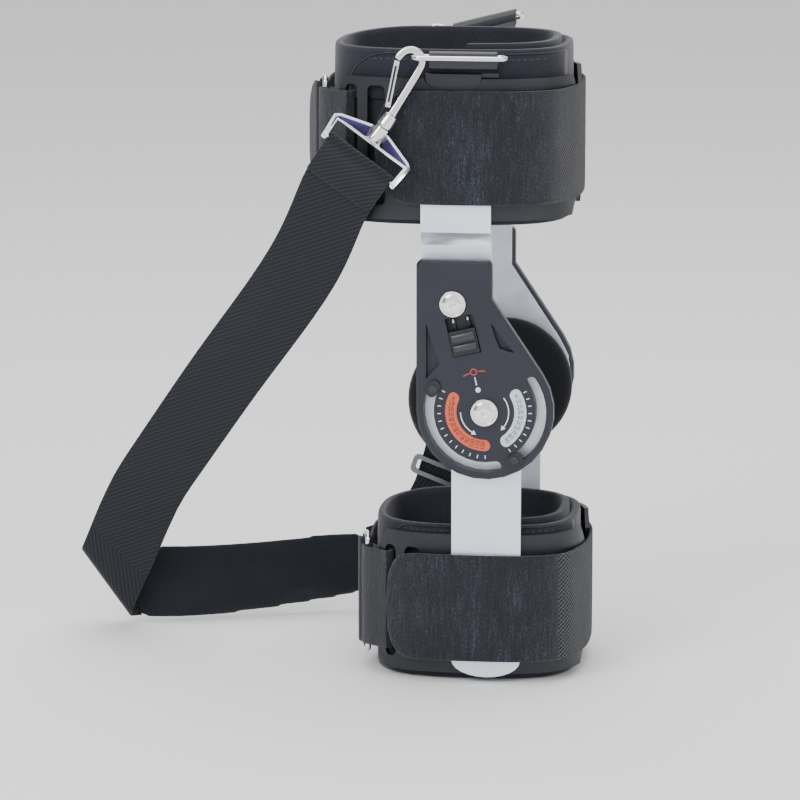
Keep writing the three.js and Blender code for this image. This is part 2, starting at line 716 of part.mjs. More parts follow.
// The upper bar is drawn from its edge, so that it joggles out over the cuff, then trimmed to its outline
function upperBar() {
  const inner = UPPER_BAR_INNER;
  const topInner = UPPER_BAR_TOP_INNER;
  const bottom = -COVER_RADIUS - REACH_PAST;
  const top = UPPER_BAR_TOP + 1;
  const edge = polygon([
    [inner, bottom], [inner, JOGGLE_LOW], [topInner, JOGGLE_HIGH], [topInner, top],
    [topInner + BAR_WALL, top], [topInner + BAR_WALL, JOGGLE_HIGH - JOGGLE_SHIFT],
    [inner + BAR_WALL, JOGGLE_LOW - JOGGLE_SHIFT], [inner + BAR_WALL, bottom],
  ]);
  const span = 2 * (COVER_RADIUS + REACH_PAST);
  const side = new THREE.ExtrudeGeometry(edge, { depth: span, bevelEnabled: false });
  side.translate(0, HINGE_HEIGHT, -span / 2);
  side.rotateX(Math.PI / 2).rotateZ(-Math.PI / 2);
  const armLow = COVER_TURN - UPPER_BAR_CORNER;
  const arm = through(roundedRectangle(BAR_WIDTH, UPPER_BAR_TOP - armLow, UPPER_BAR_CORNER));
  arm.translate(BAR_INSET - COVER_RADIUS + BAR_WIDTH / 2, 0, (UPPER_BAR_TOP + armLow) / 2);
  return cut(
    common(side, join(through(coverOutline(BAR_INSET), COVER_ARC_STEPS), arm)),
    through(circle(SHANK_RADIUS + SEAT_GAP)),
    through(circle(SHANK_RADIUS + SEAT_GAP, UPPER_SCREW.x, UPPER_SCREW.z)),
  );
}

// A disc about the pivot with a straight bar below it that ends in a shallow round tip
function lowerBar() {
  const half = BAR_WIDTH / 2;
  const round = half / 2;
  const tip = LOWER_BAR_TIP - HINGE_HEIGHT + round;
  const neck = Math.asin(half / DISC_RADIUS);
  const shape = new THREE.Shape();
  shape.moveTo(-half, tip);
  shape.absellipse(0, tip, half, round, Math.PI, 2 * Math.PI);
  shape.lineTo(half, -DISC_RADIUS * Math.cos(neck));
  shape.absarc(0, 0, DISC_RADIUS, neck - Math.PI / 2, Math.PI * 1.5 - neck);
  shape.holes.push(circle(SHANK_RADIUS + SEAT_GAP));
  return plate(shape, LOWER_BAR_INNER, LOWER_BAR_INNER + BAR_WALL);
}

// An oval thumb head on the cover's face, on a round shank that runs in the slot
function stopPin(degrees) {
  const at = polar(SLOT_RADIUS, degrees);
  const head = plate(roundedRectangle(STOP_WIDTH, STOP_LENGTH, STOP_WIDTH / 2 - 0.1), 0, STOP_HEAD, 0, 3);
  head.translate(0, 0, -HINGE_HEIGHT);
  head.rotateY(THREE.MathUtils.degToRad(-degrees));
  head.translate(at.x, -COVER_FACE - SEAT_GAP, HINGE_HEIGHT + at.y);
  const length = COVER_WALL + STOP_HEAD / 2;
  const profile = [[0, 0], [STOP_SHANK, 0], [STOP_SHANK, length], [0, length]];
  return join(head, turned(profile, at.x, at.y, COVER_INNER, 12));
}

// A thumb slide in the cover's pocket, with two raised ridges
function lockSlider() {
  const low = -SLIDER.height / 2;
  const body = plate(
    sliderShape(SLIDER.width / 2, low, low + SLIDER.height),
    COVER_FACE - SLIDER_POCKET + SEAT_GAP,
    COVER_FACE + SLIDER_PROUD,
  );
  const ridges = SLIDER_RIDGES.map(([from, to]) => plate(
    sliderShape(SLIDER.width / 2 - SLIDER_RIDGE_INSET, low + from, low + to),
    COVER_FACE,
    COVER_FACE + SLIDER_RIDGE_PROUD,
  ));
  return join(body, ...ridges);
}

function condylePad(side) {
  const { x, z } = PAD_CENTRES[side];
  return turned([
    [0, 0],
    [PAD_RADIUS * 0.83, 0],
    [PAD_RADIUS * 0.96, PAD_WALL * 0.22],
    [PAD_RADIUS, PAD_WALL * 0.5],
    [PAD_RADIUS * 0.96, PAD_WALL * 0.8],
    [PAD_RADIUS * 0.86, PAD_WALL],
    [0, PAD_WALL],
  ], x, z, PAD_INNER, 28);
}

function buildHinge(side) {
  add(`${side}_upper_bar`, onSide(side, upperBar()), ALUMINIUM);
  add(`${side}_lower_bar`, onSide(side, lowerBar()), ALUMINIUM);
  add(`${side}_hinge_cover`, onSide(side, hingeCover()), COVER);
  add(`${side}_pivot_screw`, onSide(side, domeScrew(0, 0, PIVOT_RADIUS, UPPER_BAR_INNER, COVER_FACE)), NICKEL);
  add(`${side}_upper_screw`, onSide(side, domeScrew(
    UPPER_SCREW.x, UPPER_SCREW.z, UPPER_SCREW_RADIUS, UPPER_BAR_INNER, COVER_FACE)), NICKEL);
  add(`${side}_lock_slider`, onSide(side, lockSlider()), DARK);
  add(`${side}_flexion_stop`, onSide(side, stopPin(FLEXION_SLOT.from + STOP_PARK)), DARK);
  add(`${side}_extension_stop`, onSide(side, stopPin(EXTENSION_SLOT.from + STOP_PARK)), DARK);
  add(`${side}_condyle_pad`, onSide(side, condylePad(side)), FOAM);
}

// The loop's own frame: along its length, and outward across it
function loopFrame(side) {
  const { x, z, tilt, droop } = LOOPS[side];
  const lean = THREE.MathUtils.degToRad(tilt);
  const sag = THREE.MathUtils.degToRad(droop);
  const right = new THREE.Vector3(Math.cos(lean), 0, Math.sin(lean));
  const down = Math.sin(sag);
  const across = new THREE.Vector3(down * Math.sin(lean), -Math.cos(sag), -down * Math.cos(lean));
  const innerLeg = THIGH.halfY + FRAME_STANDOFF + FRAME_WALL + TAB_WALL + LOOP_WIRE + LOOP_CLEARANCE;
  const half = LOOP_WIDTH / 2 - LOOP_WIRE;
  const centre = new THREE.Vector3(x, -innerLeg, HINGE_HEIGHT + z).addScaledVector(across, half);
  return { right, across, centre, half, innerLeg };
}

function wireLoop(side) {
  const { right, across, centre } = loopFrame(side);
  const width = LOOP_LENGTH - 2 * LOOP_WIRE;
  const depth = LOOP_WIDTH - 2 * LOOP_WIRE;
  return wireRing(centre, right, across, width, depth, depth / 2 - 0.1, LOOP_WIRE);
}

// A folded tab: over the wire's inner leg, then down between the liner and the frame
function tab(side) {
  const { right, centre, across, half, innerLeg } = loopFrame(side);
  const leg = centre.clone().addScaledVector(across, -half);
  const turn = LOOP_WIRE + SEAT_GAP + TAB_WALL / 2;
  const tail = THIGH.halfY + SEAT_GAP + TAB_WALL / 2;
  const { z, tilt, tabShift } = LOOPS[side];
  const slope = Math.sin(THREE.MathUtils.degToRad(tilt)) * (TAB_WIDTH / 2 - tabShift);
  const drop = z - slope - THIGH.frameHigh - SEAT_GAP;
  const route = [
    { out: innerLeg + turn * 0.4, drop: 5.5 },
    { out: innerLeg + turn * 0.95, drop: 2.4 },
  ];
  for (const degrees of [0, 45, 90, 135, 180]) {
    const bend = THREE.MathUtils.degToRad(degrees);
    route.push({ out: innerLeg + turn * Math.cos(bend), drop: -turn * Math.sin(bend) });
  }
  route.push({ out: innerLeg - turn, drop: drop * 0.3 });
  route.push({ out: tail, drop: drop * 0.75 });
  route.push({ out: tail, drop });
  const sections = route.map(({ out, drop }, i) => {
    const before = route[Math.max(i - 1, 0)];
    const after = route[Math.min(i + 1, route.length - 1)];
    const along = new THREE.Vector2(after.out - before.out, after.drop - before.drop).normalize();
    return [[-1, -1], [1, -1], [1, 1], [-1, 1]].map(([end, face]) => {
      const point = leg.clone().setY(-out - face * along.y * TAB_WALL / 2);
      point.z -= drop - face * along.x * TAB_WALL / 2;
      return point.addScaledVector(right, end * TAB_WIDTH / 2 + tabShift);
    });
  });
  return loft(sections);
}

// Hook frame: its origin is the swivel's base, its anchor sits where the wire loop's end passes
function hookFrame(side) {
  const { right: loopRight, centre } = loopFrame(side);
  const anchor = centre.clone().addScaledVector(loopRight, -LOOP_LENGTH / 2 + LOOP_WIRE);
  const tilt = THREE.MathUtils.degToRad(HOOKS[side].tilt);
  const lean = THREE.MathUtils.degToRad(HOOKS[side].lean);
  const upright = Math.cos(lean);
  const along = new THREE.Vector3(Math.sin(tilt) * upright, Math.sin(lean), Math.cos(tilt) * upright);
  const right = new THREE.Vector3(Math.cos(tilt), 0, -Math.sin(tilt));
  const out = right.clone().cross(along).normalize();
  const base = anchor.clone().addScaledVector(right, -HOOKS[side].anchorRight)
    .addScaledVector(along, -HOOKS[side].anchorAlong);
  return new THREE.Matrix4().makeBasis(right, along, out).setPosition(base);
}

// The hook's centre line: up the spine, round the bow and down to the nose
function hookPath() {
  const bowCentre = new THREE.Vector2(-HOOK_SET_BACK - HOOK_BOW, HOOK_SPINE - HOOK_BOW_DROP);
  const points = [
    new THREE.Vector2(0, HOOK_BASE_HEIGHT - 1),
    new THREE.Vector2(-HOOK_SET_BACK, bowCentre.y),
  ];
  for (const degrees of [30, 60, 90, 120, 150, 180]) {
    points.push(polar(HOOK_BOW, degrees).add(bowCentre));
  }
  points.push(new THREE.Vector2(bowCentre.x - HOOK_BOW, bowCentre.y - HOOK_NOSE));
  return points;
}

function strip(points, width, thickness) {
  const sections = points.map((point, i) => {
    const before = points[Math.max(i - 1, 0)];
    const after = points[Math.min(i + 1, points.length - 1)];
    const along = after.clone().sub(before).normalize();
    const side = new THREE.Vector2(-along.y, along.x).multiplyScalar(width / 2);
    const left = point.clone().add(side);
    const right = point.clone().sub(side);
    const half = thickness / 2;
    return [
      new THREE.Vector3(left.x, left.y, -half), new THREE.Vector3(right.x, right.y, -half),
      new THREE.Vector3(right.x, right.y, half), new THREE.Vector3(left.x, left.y, half),
    ];
  });
  return loft(sections);
}

function hookBody() {
  const base = new THREE.CylinderGeometry(HOOK_BASE_RADIUS * 0.86, HOOK_BASE_RADIUS, HOOK_BASE_HEIGHT, 12);
  base.translate(0, HOOK_BASE_HEIGHT / 2 + SEAT_GAP, 0);
  return join(strip(hookPath(), HOOK_WIDTH, HOOK_WALL), base);
}

function gateTip() {
  const points = hookPath();
  const nose = points[points.length - 1];
  return new THREE.Vector2(nose.x + GATE_TIP_SHIFT, nose.y - SEAT_GAP - GATE_TIP_SHIFT);
}

function hookGate() {
  const pivot = new THREE.Vector2(GATE_PIVOT.right, GATE_PIVOT.along);
  return strip([pivot, gateTip()], GATE_WIDTH, GATE_WALL);
}

// Bracket frame: the hook's frame moved down to the bar that the webbing turns round
function bracketFrame(side) {
  return hookFrame(side).multiply(new THREE.Matrix4().makeTranslation(
    0, -BRACKET_BARREL - BRACKET_BARREL_RADIUS, 0));
}

function bracket() {
  const rim = BRACKET_RIM;
  const half = WEBBING_WIDTH / 2 + BRACKET_CLEARANCE + rim;
  const top = BRACKET_BARREL + BRACKET_BARREL_RADIUS * 0.6;
  const outer = [
    [half, -2], [half + 1.2, BRACKET_SHOULDER], [half - 1.4, BRACKET_SHOULDER + 2], [5, top],
    [-5, top], [-half + 1.4, BRACKET_SHOULDER + 2], [-half - 1.2, BRACKET_SHOULDER], [-half, -2],
  ];
  const inner = [
    [half - rim, -2], [half - rim + 0.8, BRACKET_SHOULDER - 1.4], [6.5, BRACKET_BARREL - 6],
    [-6.5, BRACKET_BARREL - 6], [-half + rim - 0.8, BRACKET_SHOULDER - 1.4], [-half + rim, -2],
  ];
  const shape = polygon(outer.concat(inner.reverse()));
  const arms = new THREE.ExtrudeGeometry(shape, { depth: BRACKET_WALL, bevelEnabled: false });
  arms.translate(0, 0, -BRACKET_WALL / 2);
  const bar = new THREE.CylinderGeometry(BRACKET_BAR, BRACKET_BAR, 2 * half - rim, 10);
  bar.rotateZ(Math.PI / 2);
  const barrelHeight = 2 * BRACKET_BARREL_RADIUS;
  const barrel = new THREE.CylinderGeometry(BRACKET_BARREL_RADIUS, BRACKET_BARREL_RADIUS, barrelHeight, 12);
  barrel.translate(0, BRACKET_BARREL, 0);
  const web = (sign) => {
    const panel = polygon([
      [sign * (half - rim - 0.5), BRACKET_SHOULDER + 0.5], [sign * 4, top - 1],
      [sign * 5, BRACKET_BARREL - 5], [sign * 12, BRACKET_SHOULDER - 2],
    ]);
    const thin = new THREE.ExtrudeGeometry(panel, { depth: 1.2, bevelEnabled: false });
    return thin.translate(0, 0, -0.6);
  };
  return join(arms, bar, barrel, web(1), web(-1));
}

// Flat webbing: sections across the width at each station of a run
function ribbon(stations, width, thickness) {
  const sections = stations.map((station, i) => {
    const before = stations[Math.max(i - 1, 0)].centre;
    const after = stations[Math.min(i + 1, stations.length - 1)].centre;
    const along = after.clone().sub(before).normalize();
    const out = station.out ?? station.across.clone().cross(along).normalize();
    const reach = station.reach ?? width;
    const a = station.centre.clone().addScaledVector(station.across, -reach / 2);
    const b = station.centre.clone().addScaledVector(station.across, reach / 2);
    const half = thickness / 2;
    return [
      a.clone().addScaledVector(out, -half), b.clone().addScaledVector(out, -half),
      b.clone().addScaledVector(out, half), a.clone().addScaledVector(out, half),
    ];
  });
  return loft(sections);
}

function routeStation(row) {
  const across = new THREE.Vector3(row.acrossX, 0, row.acrossZ).normalize();
  return { centre: new THREE.Vector3(row.x, row.y, row.z), across };
}

// The webbing's end turns round the bracket's bar and is sewn back on the outer face
function bracketTurn(side, routeEnd) {
  const matrix = bracketFrame(side);
  const right = new THREE.Vector3();
  const along = new THREE.Vector3();
  const out = new THREE.Vector3();
  matrix.extractBasis(right, along, out);
  const bar = new THREE.Vector3().setFromMatrixPosition(matrix);
  const toRoute = routeEnd.clone().sub(bar);
  const away = toRoute.addScaledVector(right, -toRoute.dot(right)).normalize();
  const front = right.clone().cross(away).normalize();
  if (front.dot(out) < 0) {
    front.negate();
  }
  const turn = BRACKET_BAR + SEAT_GAP + WEBBING_WALL / 2;
  const close = WEBBING_WALL / 2 + SEAT_GAP / 2;
  const at = (distance, lift) => ({
    centre: bar.clone().addScaledVector(away, distance).addScaledVector(front, lift), across: right.clone(),
  });
  const stations = [at(WEBBING_LAP, close), at(8, close), at(3, turn * 0.86)];
  for (const degrees of [75, 40, 0, -40, -75]) {
    const bend = THREE.MathUtils.degToRad(degrees);
    stations.push(at(-turn * Math.cos(bend), turn * Math.sin(bend)));
  }
  stations.push(at(3, -turn * 0.86), at(8, -close), at(WEBBING_LAP + 2, -close));
  return stations;
}

function spread(stations, count) {
  const centres = new THREE.CatmullRomCurve3(stations.map((station) => station.centre), false, "centripetal");
  const last = stations.length - 1;
  return Array.from({ length: count + 1 }, (_, i) => {
    const share = i / count;
    const place = Math.min(share * last, last - 1e-9);
    const low = Math.floor(place);
    const across = stations[low].across.clone().lerp(stations[low + 1].across, smooth(place - low));
    return { centre: centres.getPoint(share), across: across.normalize() };
  });
}

// The diagonal fold that turns the hanging webbing into a band standing on its edge
function foldStations(before) {
  const run = FOLD_CENTRE.clone().sub(before.centre).normalize();
  const across = before.across.clone().addScaledVector(run, -before.across.dot(run)).normalize();
  const out = run.clone().cross(across);
  const crease = THREE.MathUtils.degToRad(CREASE_ANGLE);
  const axis = run.clone().multiplyScalar(Math.cos(crease)).addScaledVector(across, Math.sin(crease));
  const travel = run.clone().multiplyScalar(Math.sin(crease)).addScaledVector(across, -Math.cos(crease));
  const reach = WEBBING_WIDTH / Math.sin(crease);
  const pivot = FOLD_CENTRE.clone().addScaledVector(out, -FOLD_RADIUS);
  const turn = THREE.MathUtils.degToRad(FOLD_TURN);
  const steps = 8;
  const stations = [];
  for (let i = 0; i <= steps; i += 1) {
    const bend = turn * i / steps;
    const lead = out.clone().multiplyScalar(Math.cos(bend)).addScaledVector(travel, Math.sin(bend));
    const slip = FOLD_RADIUS * bend / Math.tan(crease);
    const centre = pivot.clone().addScaledVector(lead, FOLD_RADIUS).addScaledVector(axis, slip);
    stations.push({ centre, across: axis.clone(), out: lead, reach });
  }
  return stations;
}

function frontWebbing() {
  const rows = FRONT_ROUTE.map(routeStation);
  const turn = bracketTurn("lateral", rows[0].centre);
  const last = turn[turn.length - 1];
  const down = spread([last, ...rows], 14);
  const before = down[down.length - 1];
  const fold = foldStations(before);
  const halfway = before.centre.clone().lerp(fold[0].centre, 0.45);
  const lead = before.across.clone().lerp(fold[0].across, 0.25).normalize();
  const upright = new THREE.Vector3(0, 0, -1);
  const padded = new THREE.Vector3(PADDED_ROUTE[0].x, PADDED_ROUTE[0].y, PADDED_ROUTE[0].z);
  const tail = padded.clone().lerp(fold[fold.length - 1].centre, 0.04);
  const stations = [
    ...turn,
    ...down.slice(1),
    { centre: halfway, across: lead, reach: WEBBING_WIDTH * 1.04 },
    ...fold,
    { centre: tail, across: upright, reach: WEBBING_WIDTH },
  ];
  return ribbon(stations, WEBBING_WIDTH, WEBBING_WALL);
}

function paddedSection() {
  const curve = new THREE.CatmullRomCurve3(PADDED_ROUTE.map(({ x, y, z }) => new THREE.Vector3(x, y, z)));
  const steps = 16;
  const sections = Array.from({ length: steps + 1 }, (_, i) => {
    const share = i / steps;
    const centre = curve.getPoint(share);
    const along = curve.getTangent(share).setZ(0).normalize();
    const out = new THREE.Vector3(along.y, -along.x, 0);
    const end = Math.min(share, 1 - share);
    const fullness = 0.45 + 0.55 * smooth(end / 0.1);
    const row = Math.min(Math.floor(share * (PADDED_ROUTE.length - 1)), PADDED_ROUTE.length - 2);
    const part = share * (PADDED_ROUTE.length - 1) - row;
    const tall = THREE.MathUtils.lerp(PADDED_ROUTE[row].tall, PADDED_ROUTE[row + 1].tall, part);
    const half = tall * PADDED_WIDTH / 2;
    return Array.from({ length: 12 }, (_, k) => {
      const turn = 2 * Math.PI * (k + 0.5) / 12;
      const rise = Math.sign(Math.sin(turn)) * Math.abs(Math.sin(turn)) ** 0.55;
      return centre.clone().addScaledVector(out, PADDED_WALL / 2 * fullness * Math.cos(turn))
        .setZ(centre.z + half * rise * (0.94 + 0.06 * smooth(end / 0.1)));
    });
  });
  return loft(sections);
}

function rearStations() {
  const last = PADDED_ROUTE[PADDED_ROUTE.length - 1];
  const rows = REAR_ROUTE.map(routeStation);
  const start = {
    centre: new THREE.Vector3(last.x, last.y, last.z).lerp(rows[0].centre, 0.03),
    across: new THREE.Vector3(0, 0, -1),
  };
  return [start, ...rows];
}

function mirroredStations(stations) {
  return stations.map(({ centre, across }) => ({
    centre: new THREE.Vector3(centre.x, -centre.y, centre.z),
    across: new THREE.Vector3(across.x, -across.y, across.z),
  }));
}

function rearWebbing() {
  const rows = rearStations();
  const end = rows[rows.length - 1].centre;
  const turn = mirroredStations(bracketTurn("medial", new THREE.Vector3(end.x, -end.y, end.z)));
  const run = spread([...rows, turn[turn.length - 1]], 20);
  return ribbon([...run, ...turn.slice(0, -1).reverse()], WEBBING_WIDTH, WEBBING_WALL);
}

// A flat slide buckle that the rear webbing passes through, shown as a plate frame behind it
function adjuster() {
  const run = spread(rearStations(), 8 * REAR_ROUTE.length);
  const at = 8 * ADJUSTER_ROW;
  const here = run[at];
  const along = run[at + 1].centre.clone().sub(run[at - 1].centre).normalize();
  const across = here.across.clone().addScaledVector(along, -here.across.dot(along)).normalize();
  const out = across.clone().cross(along).normalize();
  const opening = WEBBING_WIDTH + ADJUSTER.play;
  const shape = roundedRectangle(opening + 2 * ADJUSTER.rim, ADJUSTER.height, ADJUSTER.corner);
  shape.holes.push(roundedRectangle(opening, ADJUSTER.height - 2 * ADJUSTER.rim, ADJUSTER.corner / 3));
  const buckle = new THREE.ExtrudeGeometry(
    shape, { depth: ADJUSTER.wall, bevelEnabled: false, curveSegments: 3 });
  buckle.translate(0, 0, WEBBING_WALL / 2 + ADJUSTER.lift);
  return buckle.applyMatrix4(new THREE.Matrix4().makeBasis(across, along, out).setPosition(here.centre));
}

function buildStrapEnd(side) {
  add(`${side}_loop_tab`, onSide(side, tab(side)), VINYL);
  add(`${side}_wire_loop`, onSide(side, wireLoop(side)), NICKEL);
  add(`${side}_hook_body`, onSide(side, hookBody().applyMatrix4(hookFrame(side))), NICKEL);
  add(`${side}_hook_gate`, onSide(side, hookGate().applyMatrix4(hookFrame(side))), NICKEL);
  add(`${side}_hook_bracket`, onSide(side, bracket().applyMatrix4(bracketFrame(side))), NICKEL);
}

buildCuff("thigh", THIGH);
buildCuff("calf", CALF);
for (const side of SIDES) {
  buildHinge(side);
  buildStrapEnd(side);
}
add("shoulder_webbing_front", frontWebbing(), CLOTH);
add("shoulder_padded_section", paddedSection(), CLOTH);
add("shoulder_webbing_rear", rearWebbing(), CLOTH);
add("shoulder_strap_adjuster", adjuster(), NICKEL);

// The origin is the centre of the foot of the whole brace
const box = new THREE.Box3().setFromObject(group);
const middle = box.getCenter(new THREE.Vector3());
group.children.forEach((mesh) => mesh.geometry.translate(-middle.x, -middle.y, -box.min.z));

export default group;
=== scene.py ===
"""A child's hinged knee brace: the look of its cloth, padding, plastic and metal."""

import json
import math

import bmesh
import bpy
import numpy as np
from mathutils import Matrix, Vector

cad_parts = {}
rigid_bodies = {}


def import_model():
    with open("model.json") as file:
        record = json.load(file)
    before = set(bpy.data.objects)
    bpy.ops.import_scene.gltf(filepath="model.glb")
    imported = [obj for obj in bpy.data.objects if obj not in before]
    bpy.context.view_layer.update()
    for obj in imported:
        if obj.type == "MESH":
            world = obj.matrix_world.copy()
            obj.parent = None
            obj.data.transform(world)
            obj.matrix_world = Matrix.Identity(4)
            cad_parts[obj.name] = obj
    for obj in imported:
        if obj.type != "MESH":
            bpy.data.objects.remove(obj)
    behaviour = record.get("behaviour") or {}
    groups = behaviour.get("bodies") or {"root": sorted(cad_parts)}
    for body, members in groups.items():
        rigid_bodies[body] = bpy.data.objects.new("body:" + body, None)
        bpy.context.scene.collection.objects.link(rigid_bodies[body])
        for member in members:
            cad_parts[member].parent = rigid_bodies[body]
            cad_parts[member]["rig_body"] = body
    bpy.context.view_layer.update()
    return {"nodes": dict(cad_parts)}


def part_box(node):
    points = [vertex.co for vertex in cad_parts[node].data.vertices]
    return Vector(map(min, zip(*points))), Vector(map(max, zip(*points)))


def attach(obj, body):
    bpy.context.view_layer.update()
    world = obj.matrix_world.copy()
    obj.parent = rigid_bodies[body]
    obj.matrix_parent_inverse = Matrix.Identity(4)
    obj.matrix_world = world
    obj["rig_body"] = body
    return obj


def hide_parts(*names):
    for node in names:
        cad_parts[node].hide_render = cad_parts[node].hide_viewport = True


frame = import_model()
scene = bpy.context.scene
bpy.ops.object.select_all(action="DESELECT")

MM = 0.001
SIDES = ("lateral", "medial")
FACING = {"lateral": -1, "medial": 1}

# Places read from the frame: each hinge's pivot, and the point halfway between the two
PIVOT = {side: sum(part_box(f"{side}_pivot_screw"), Vector()) / 2 for side in SIDES}
MIDDLE_Y = (PIVOT["lateral"].y + PIVOT["medial"].y) / 2
HINGE = Vector((PIVOT["lateral"].x, MIDDLE_Y, PIVOT["lateral"].z))


# Material parts
def new_material(name, colour, roughness, metallic=0.0):
    material = bpy.data.materials.new(name)
    material.use_nodes = True
    shader = material.node_tree.nodes["Principled BSDF"]
    shader.inputs["Base Color"].default_value = (*colour, 1)
    shader.inputs["Roughness"].default_value = roughness
    shader.inputs["Metallic"].default_value = metallic
    return material, shader


def add_node(material, kind, **settings):
    node = material.node_tree.nodes.new(kind)
    for key, value in settings.items():
        if key in node.inputs:
            node.inputs[key].default_value = value
        else:
            setattr(node, key, value)
    return node


def wire_up(material, *pairs):
    for start, end in pairs:
        material.node_tree.links.new(start, end)


def coordinates(material, source, scale=(1, 1, 1)):
    place = add_node(material, "ShaderNodeTexCoord")
    mapping = add_node(material, "ShaderNodeMapping", Scale=scale)
    wire_up(material, (place.outputs[source], mapping.inputs["Vector"]))
    return mapping.outputs["Vector"]


def axes_of(material, source):
    """The X, Y and Z of the chosen coordinates, in metres."""
    split = add_node(material, "ShaderNodeSeparateXYZ")
    wire_up(material, (coordinates(material, source), split.inputs["Vector"]))
    return split.outputs


def noise(material, scale, detail=2.0, roughness=0.5):
    """Noise in a piece's own space. The scale is in grains per metre, one number or one per axis."""
    if not isinstance(scale, tuple):
        scale = (scale, scale, scale)
    node = add_node(material, "ShaderNodeTexNoise", Scale=1.0, Detail=detail, Roughness=roughness)
    wire_up(material, (coordinates(material, "Object", scale), node.inputs["Vector"]))
    return node.outputs["Fac"]


def ramp(material, value, *stops):
    """A colour ramp through (position, colour) stops."""
    node = add_node(material, "ShaderNodeValToRGB")
    elements = node.color_ramp.elements
    while len(elements) < len(stops):
        elements.new(0.5)
    for element, (position, colour) in zip(elements, stops):
        element.position = position
        element.color = (*colour, 1)
    wire_up(material, (value, node.inputs["Fac"]))
    return node.outputs["Color"]


def sums(material, operation, first, second):
    """One step of arithmetic between sockets and plain numbers."""
    node = add_node(material, "ShaderNodeMath", operation=operation)
    for socket, value in zip(node.inputs, (first, second)):
        if isinstance(value, (int, float)):
            socket.default_value = value
        else:
            wire_up(material, (value, socket))
    return node.outputs["Value"]


def blend(material, *terms):
    """The sum of (value, weight) terms."""
    total = None
    for value, weight in terms:
        part = value if weight == 1 else sums(material, "MULTIPLY", value, weight)
        total = part if total is None else sums(material, "ADD", total, part)
    return total


def wave(material, value, pitch):
    """A sine wave with one crest per pitch."""
    return sums(material, "SINE", sums(material, "MULTIPLY", value, 2 * math.pi / pitch), 0)


def emboss(material, shader, height, distance):
    node = add_node(material, "ShaderNodeBump", Strength=1.0, Distance=distance)
    wire_up(
        material,
        (height, node.inputs["Height"]),
        (node.outputs["Normal"], shader.inputs["Normal"]),
    )


def colour_by(material, shader, value, *stops):
    wire_up(material, (ramp(material, value, *stops), shader.inputs["Base Color"]))


def roughness_by(material, shader, value, roughness, least, most):
    """Lets the roughness wander between two shares of itself."""
    low, high = roughness * least, min(1.0, roughness * most)
    rough = ramp(material, value, (0.3, (low, low, low)), (0.75, (high, high, high)))
    wire_up(material, (rough, shader.inputs["Roughness"]))


def level(colour, factor):
    return tuple(min(1.0, channel * factor) for channel in colour)


# Materials
# The strap shows knitted backing, not brushed loops, past this place on the X axis
KNIT_START = 125.5 * MM
KNIT_PITCH = 2.2 * MM
CORD_PITCH = 2.1 * MM
THREAD_PITCH = 0.9 * MM
TWILL_SLANT = math.radians(35)


def loop_cloth_material():
    """Brushed loop cloth: short upright fibres, with paler ones scattered in fine vertical rows."""
    colour = (0.0145, 0.0162, 0.0225)
    material, shader = new_material("loop_cloth", colour, 0.95)
    shader.inputs["Sheen Weight"].default_value = 0.25
    shader.inputs["Sheen Roughness"].default_value = 0.5
    shader.inputs["Specular IOR Level"].default_value = 0.15
    fibres = noise(material, (2300, 2300, 900), detail=3.0, roughness=0.7)
    rows = noise(material, (900, 900, 90), detail=1.0)
    clouds = noise(material, (55, 55, 35))
    colour_by(
        material,
        shader,
        blend(material, (rows, 0.35), (fibres, 1), (clouds, 0.3)),
        (0.6, level(colour, 0.65)),
        (0.82, colour),
        (0.94, level(colour, 1.8)),
        (1.0, level(colour, 3.4)),
    )
    axes = axes_of(material, "Object")
    courses, ribs = (wave(material, axes[axis], KNIT_PITCH) for axis in "ZY")
    knit = sums(material, "MULTIPLY", courses, ribs)
    turned_end = sums(material, "GREATER_THAN", axes["X"], KNIT_START)
    relief = sums(material, "ADD", fibres, sums(material, "MULTIPLY", knit, turned_end))
    emboss(material, shader, relief, 0.7 * MM)
    return material


def webbing_material():
    """Woven twill tape: raised diagonal cords made of short threads, on the piece's own UV map, with painted
    highlight on the cords' crests and painted shade in the grooves.
    """
    colour = (0.0065, 0.0075, 0.0105)
    material, shader = new_material("webbing", colour, 0.85)
    shader.inputs["Sheen Weight"].default_value = 0.15
    shader.inputs["Specular IOR Level"].default_value = 0.25
    axes = axes_of(material, "UV")
    sine, cosine = math.sin(TWILL_SLANT), math.cos(TWILL_SLANT)
    cords = wave(material, blend(material, (axes["X"], sine), (axes["Y"], cosine)), CORD_PITCH)
    threads = wave(material, blend(material, (axes["X"], cosine), (axes["Y"], -sine)), THREAD_PITCH)
    weave = blend(material, (cords, 1), (threads, 0.7))
    height = sums(material, "ADD", sums(material, "MULTIPLY", weave, 0.3), 0.5)
    # Painted light: the colour follows the weave's height, lighter on the cords' crests as painted highlight
    # and darker in the grooves as painted shade.
    colour_by(
        material,
        shader,
        blend(material, (height, 1), (noise(material, 1600), 0.5)),
        (0.1, level(colour, 0.6)),
        (0.6, colour),
        (1.0, level(colour, 2.6)),
    )
    emboss(material, shader, height, 0.22 * MM)
    return material


def padding_material(name, colour, knit):
    """Soft knitted cover over foam, with a faint nap and slow changes of shade."""
    material, shader = new_material(name, colour, 0.92)
    shader.inputs["Sheen Weight"].default_value = 0.3
    shader.inputs["Sheen Roughness"].default_value = 0.4
    shader.inputs["Specular IOR Level"].default_value = 0.2
    nap = noise(material, knit, detail=3.0, roughness=0.6)
    clouds = noise(material, 45)
    colour_by(
        material,
        shader,
        blend(material, (nap, 0.7), (clouds, 0.3)),
        (0.35, level(colour, 0.7)),
        (0.55, colour),
        (0.75, level(colour, 1.7)),
    )
    emboss(material, shader, nap, 0.35 * MM)
    return material


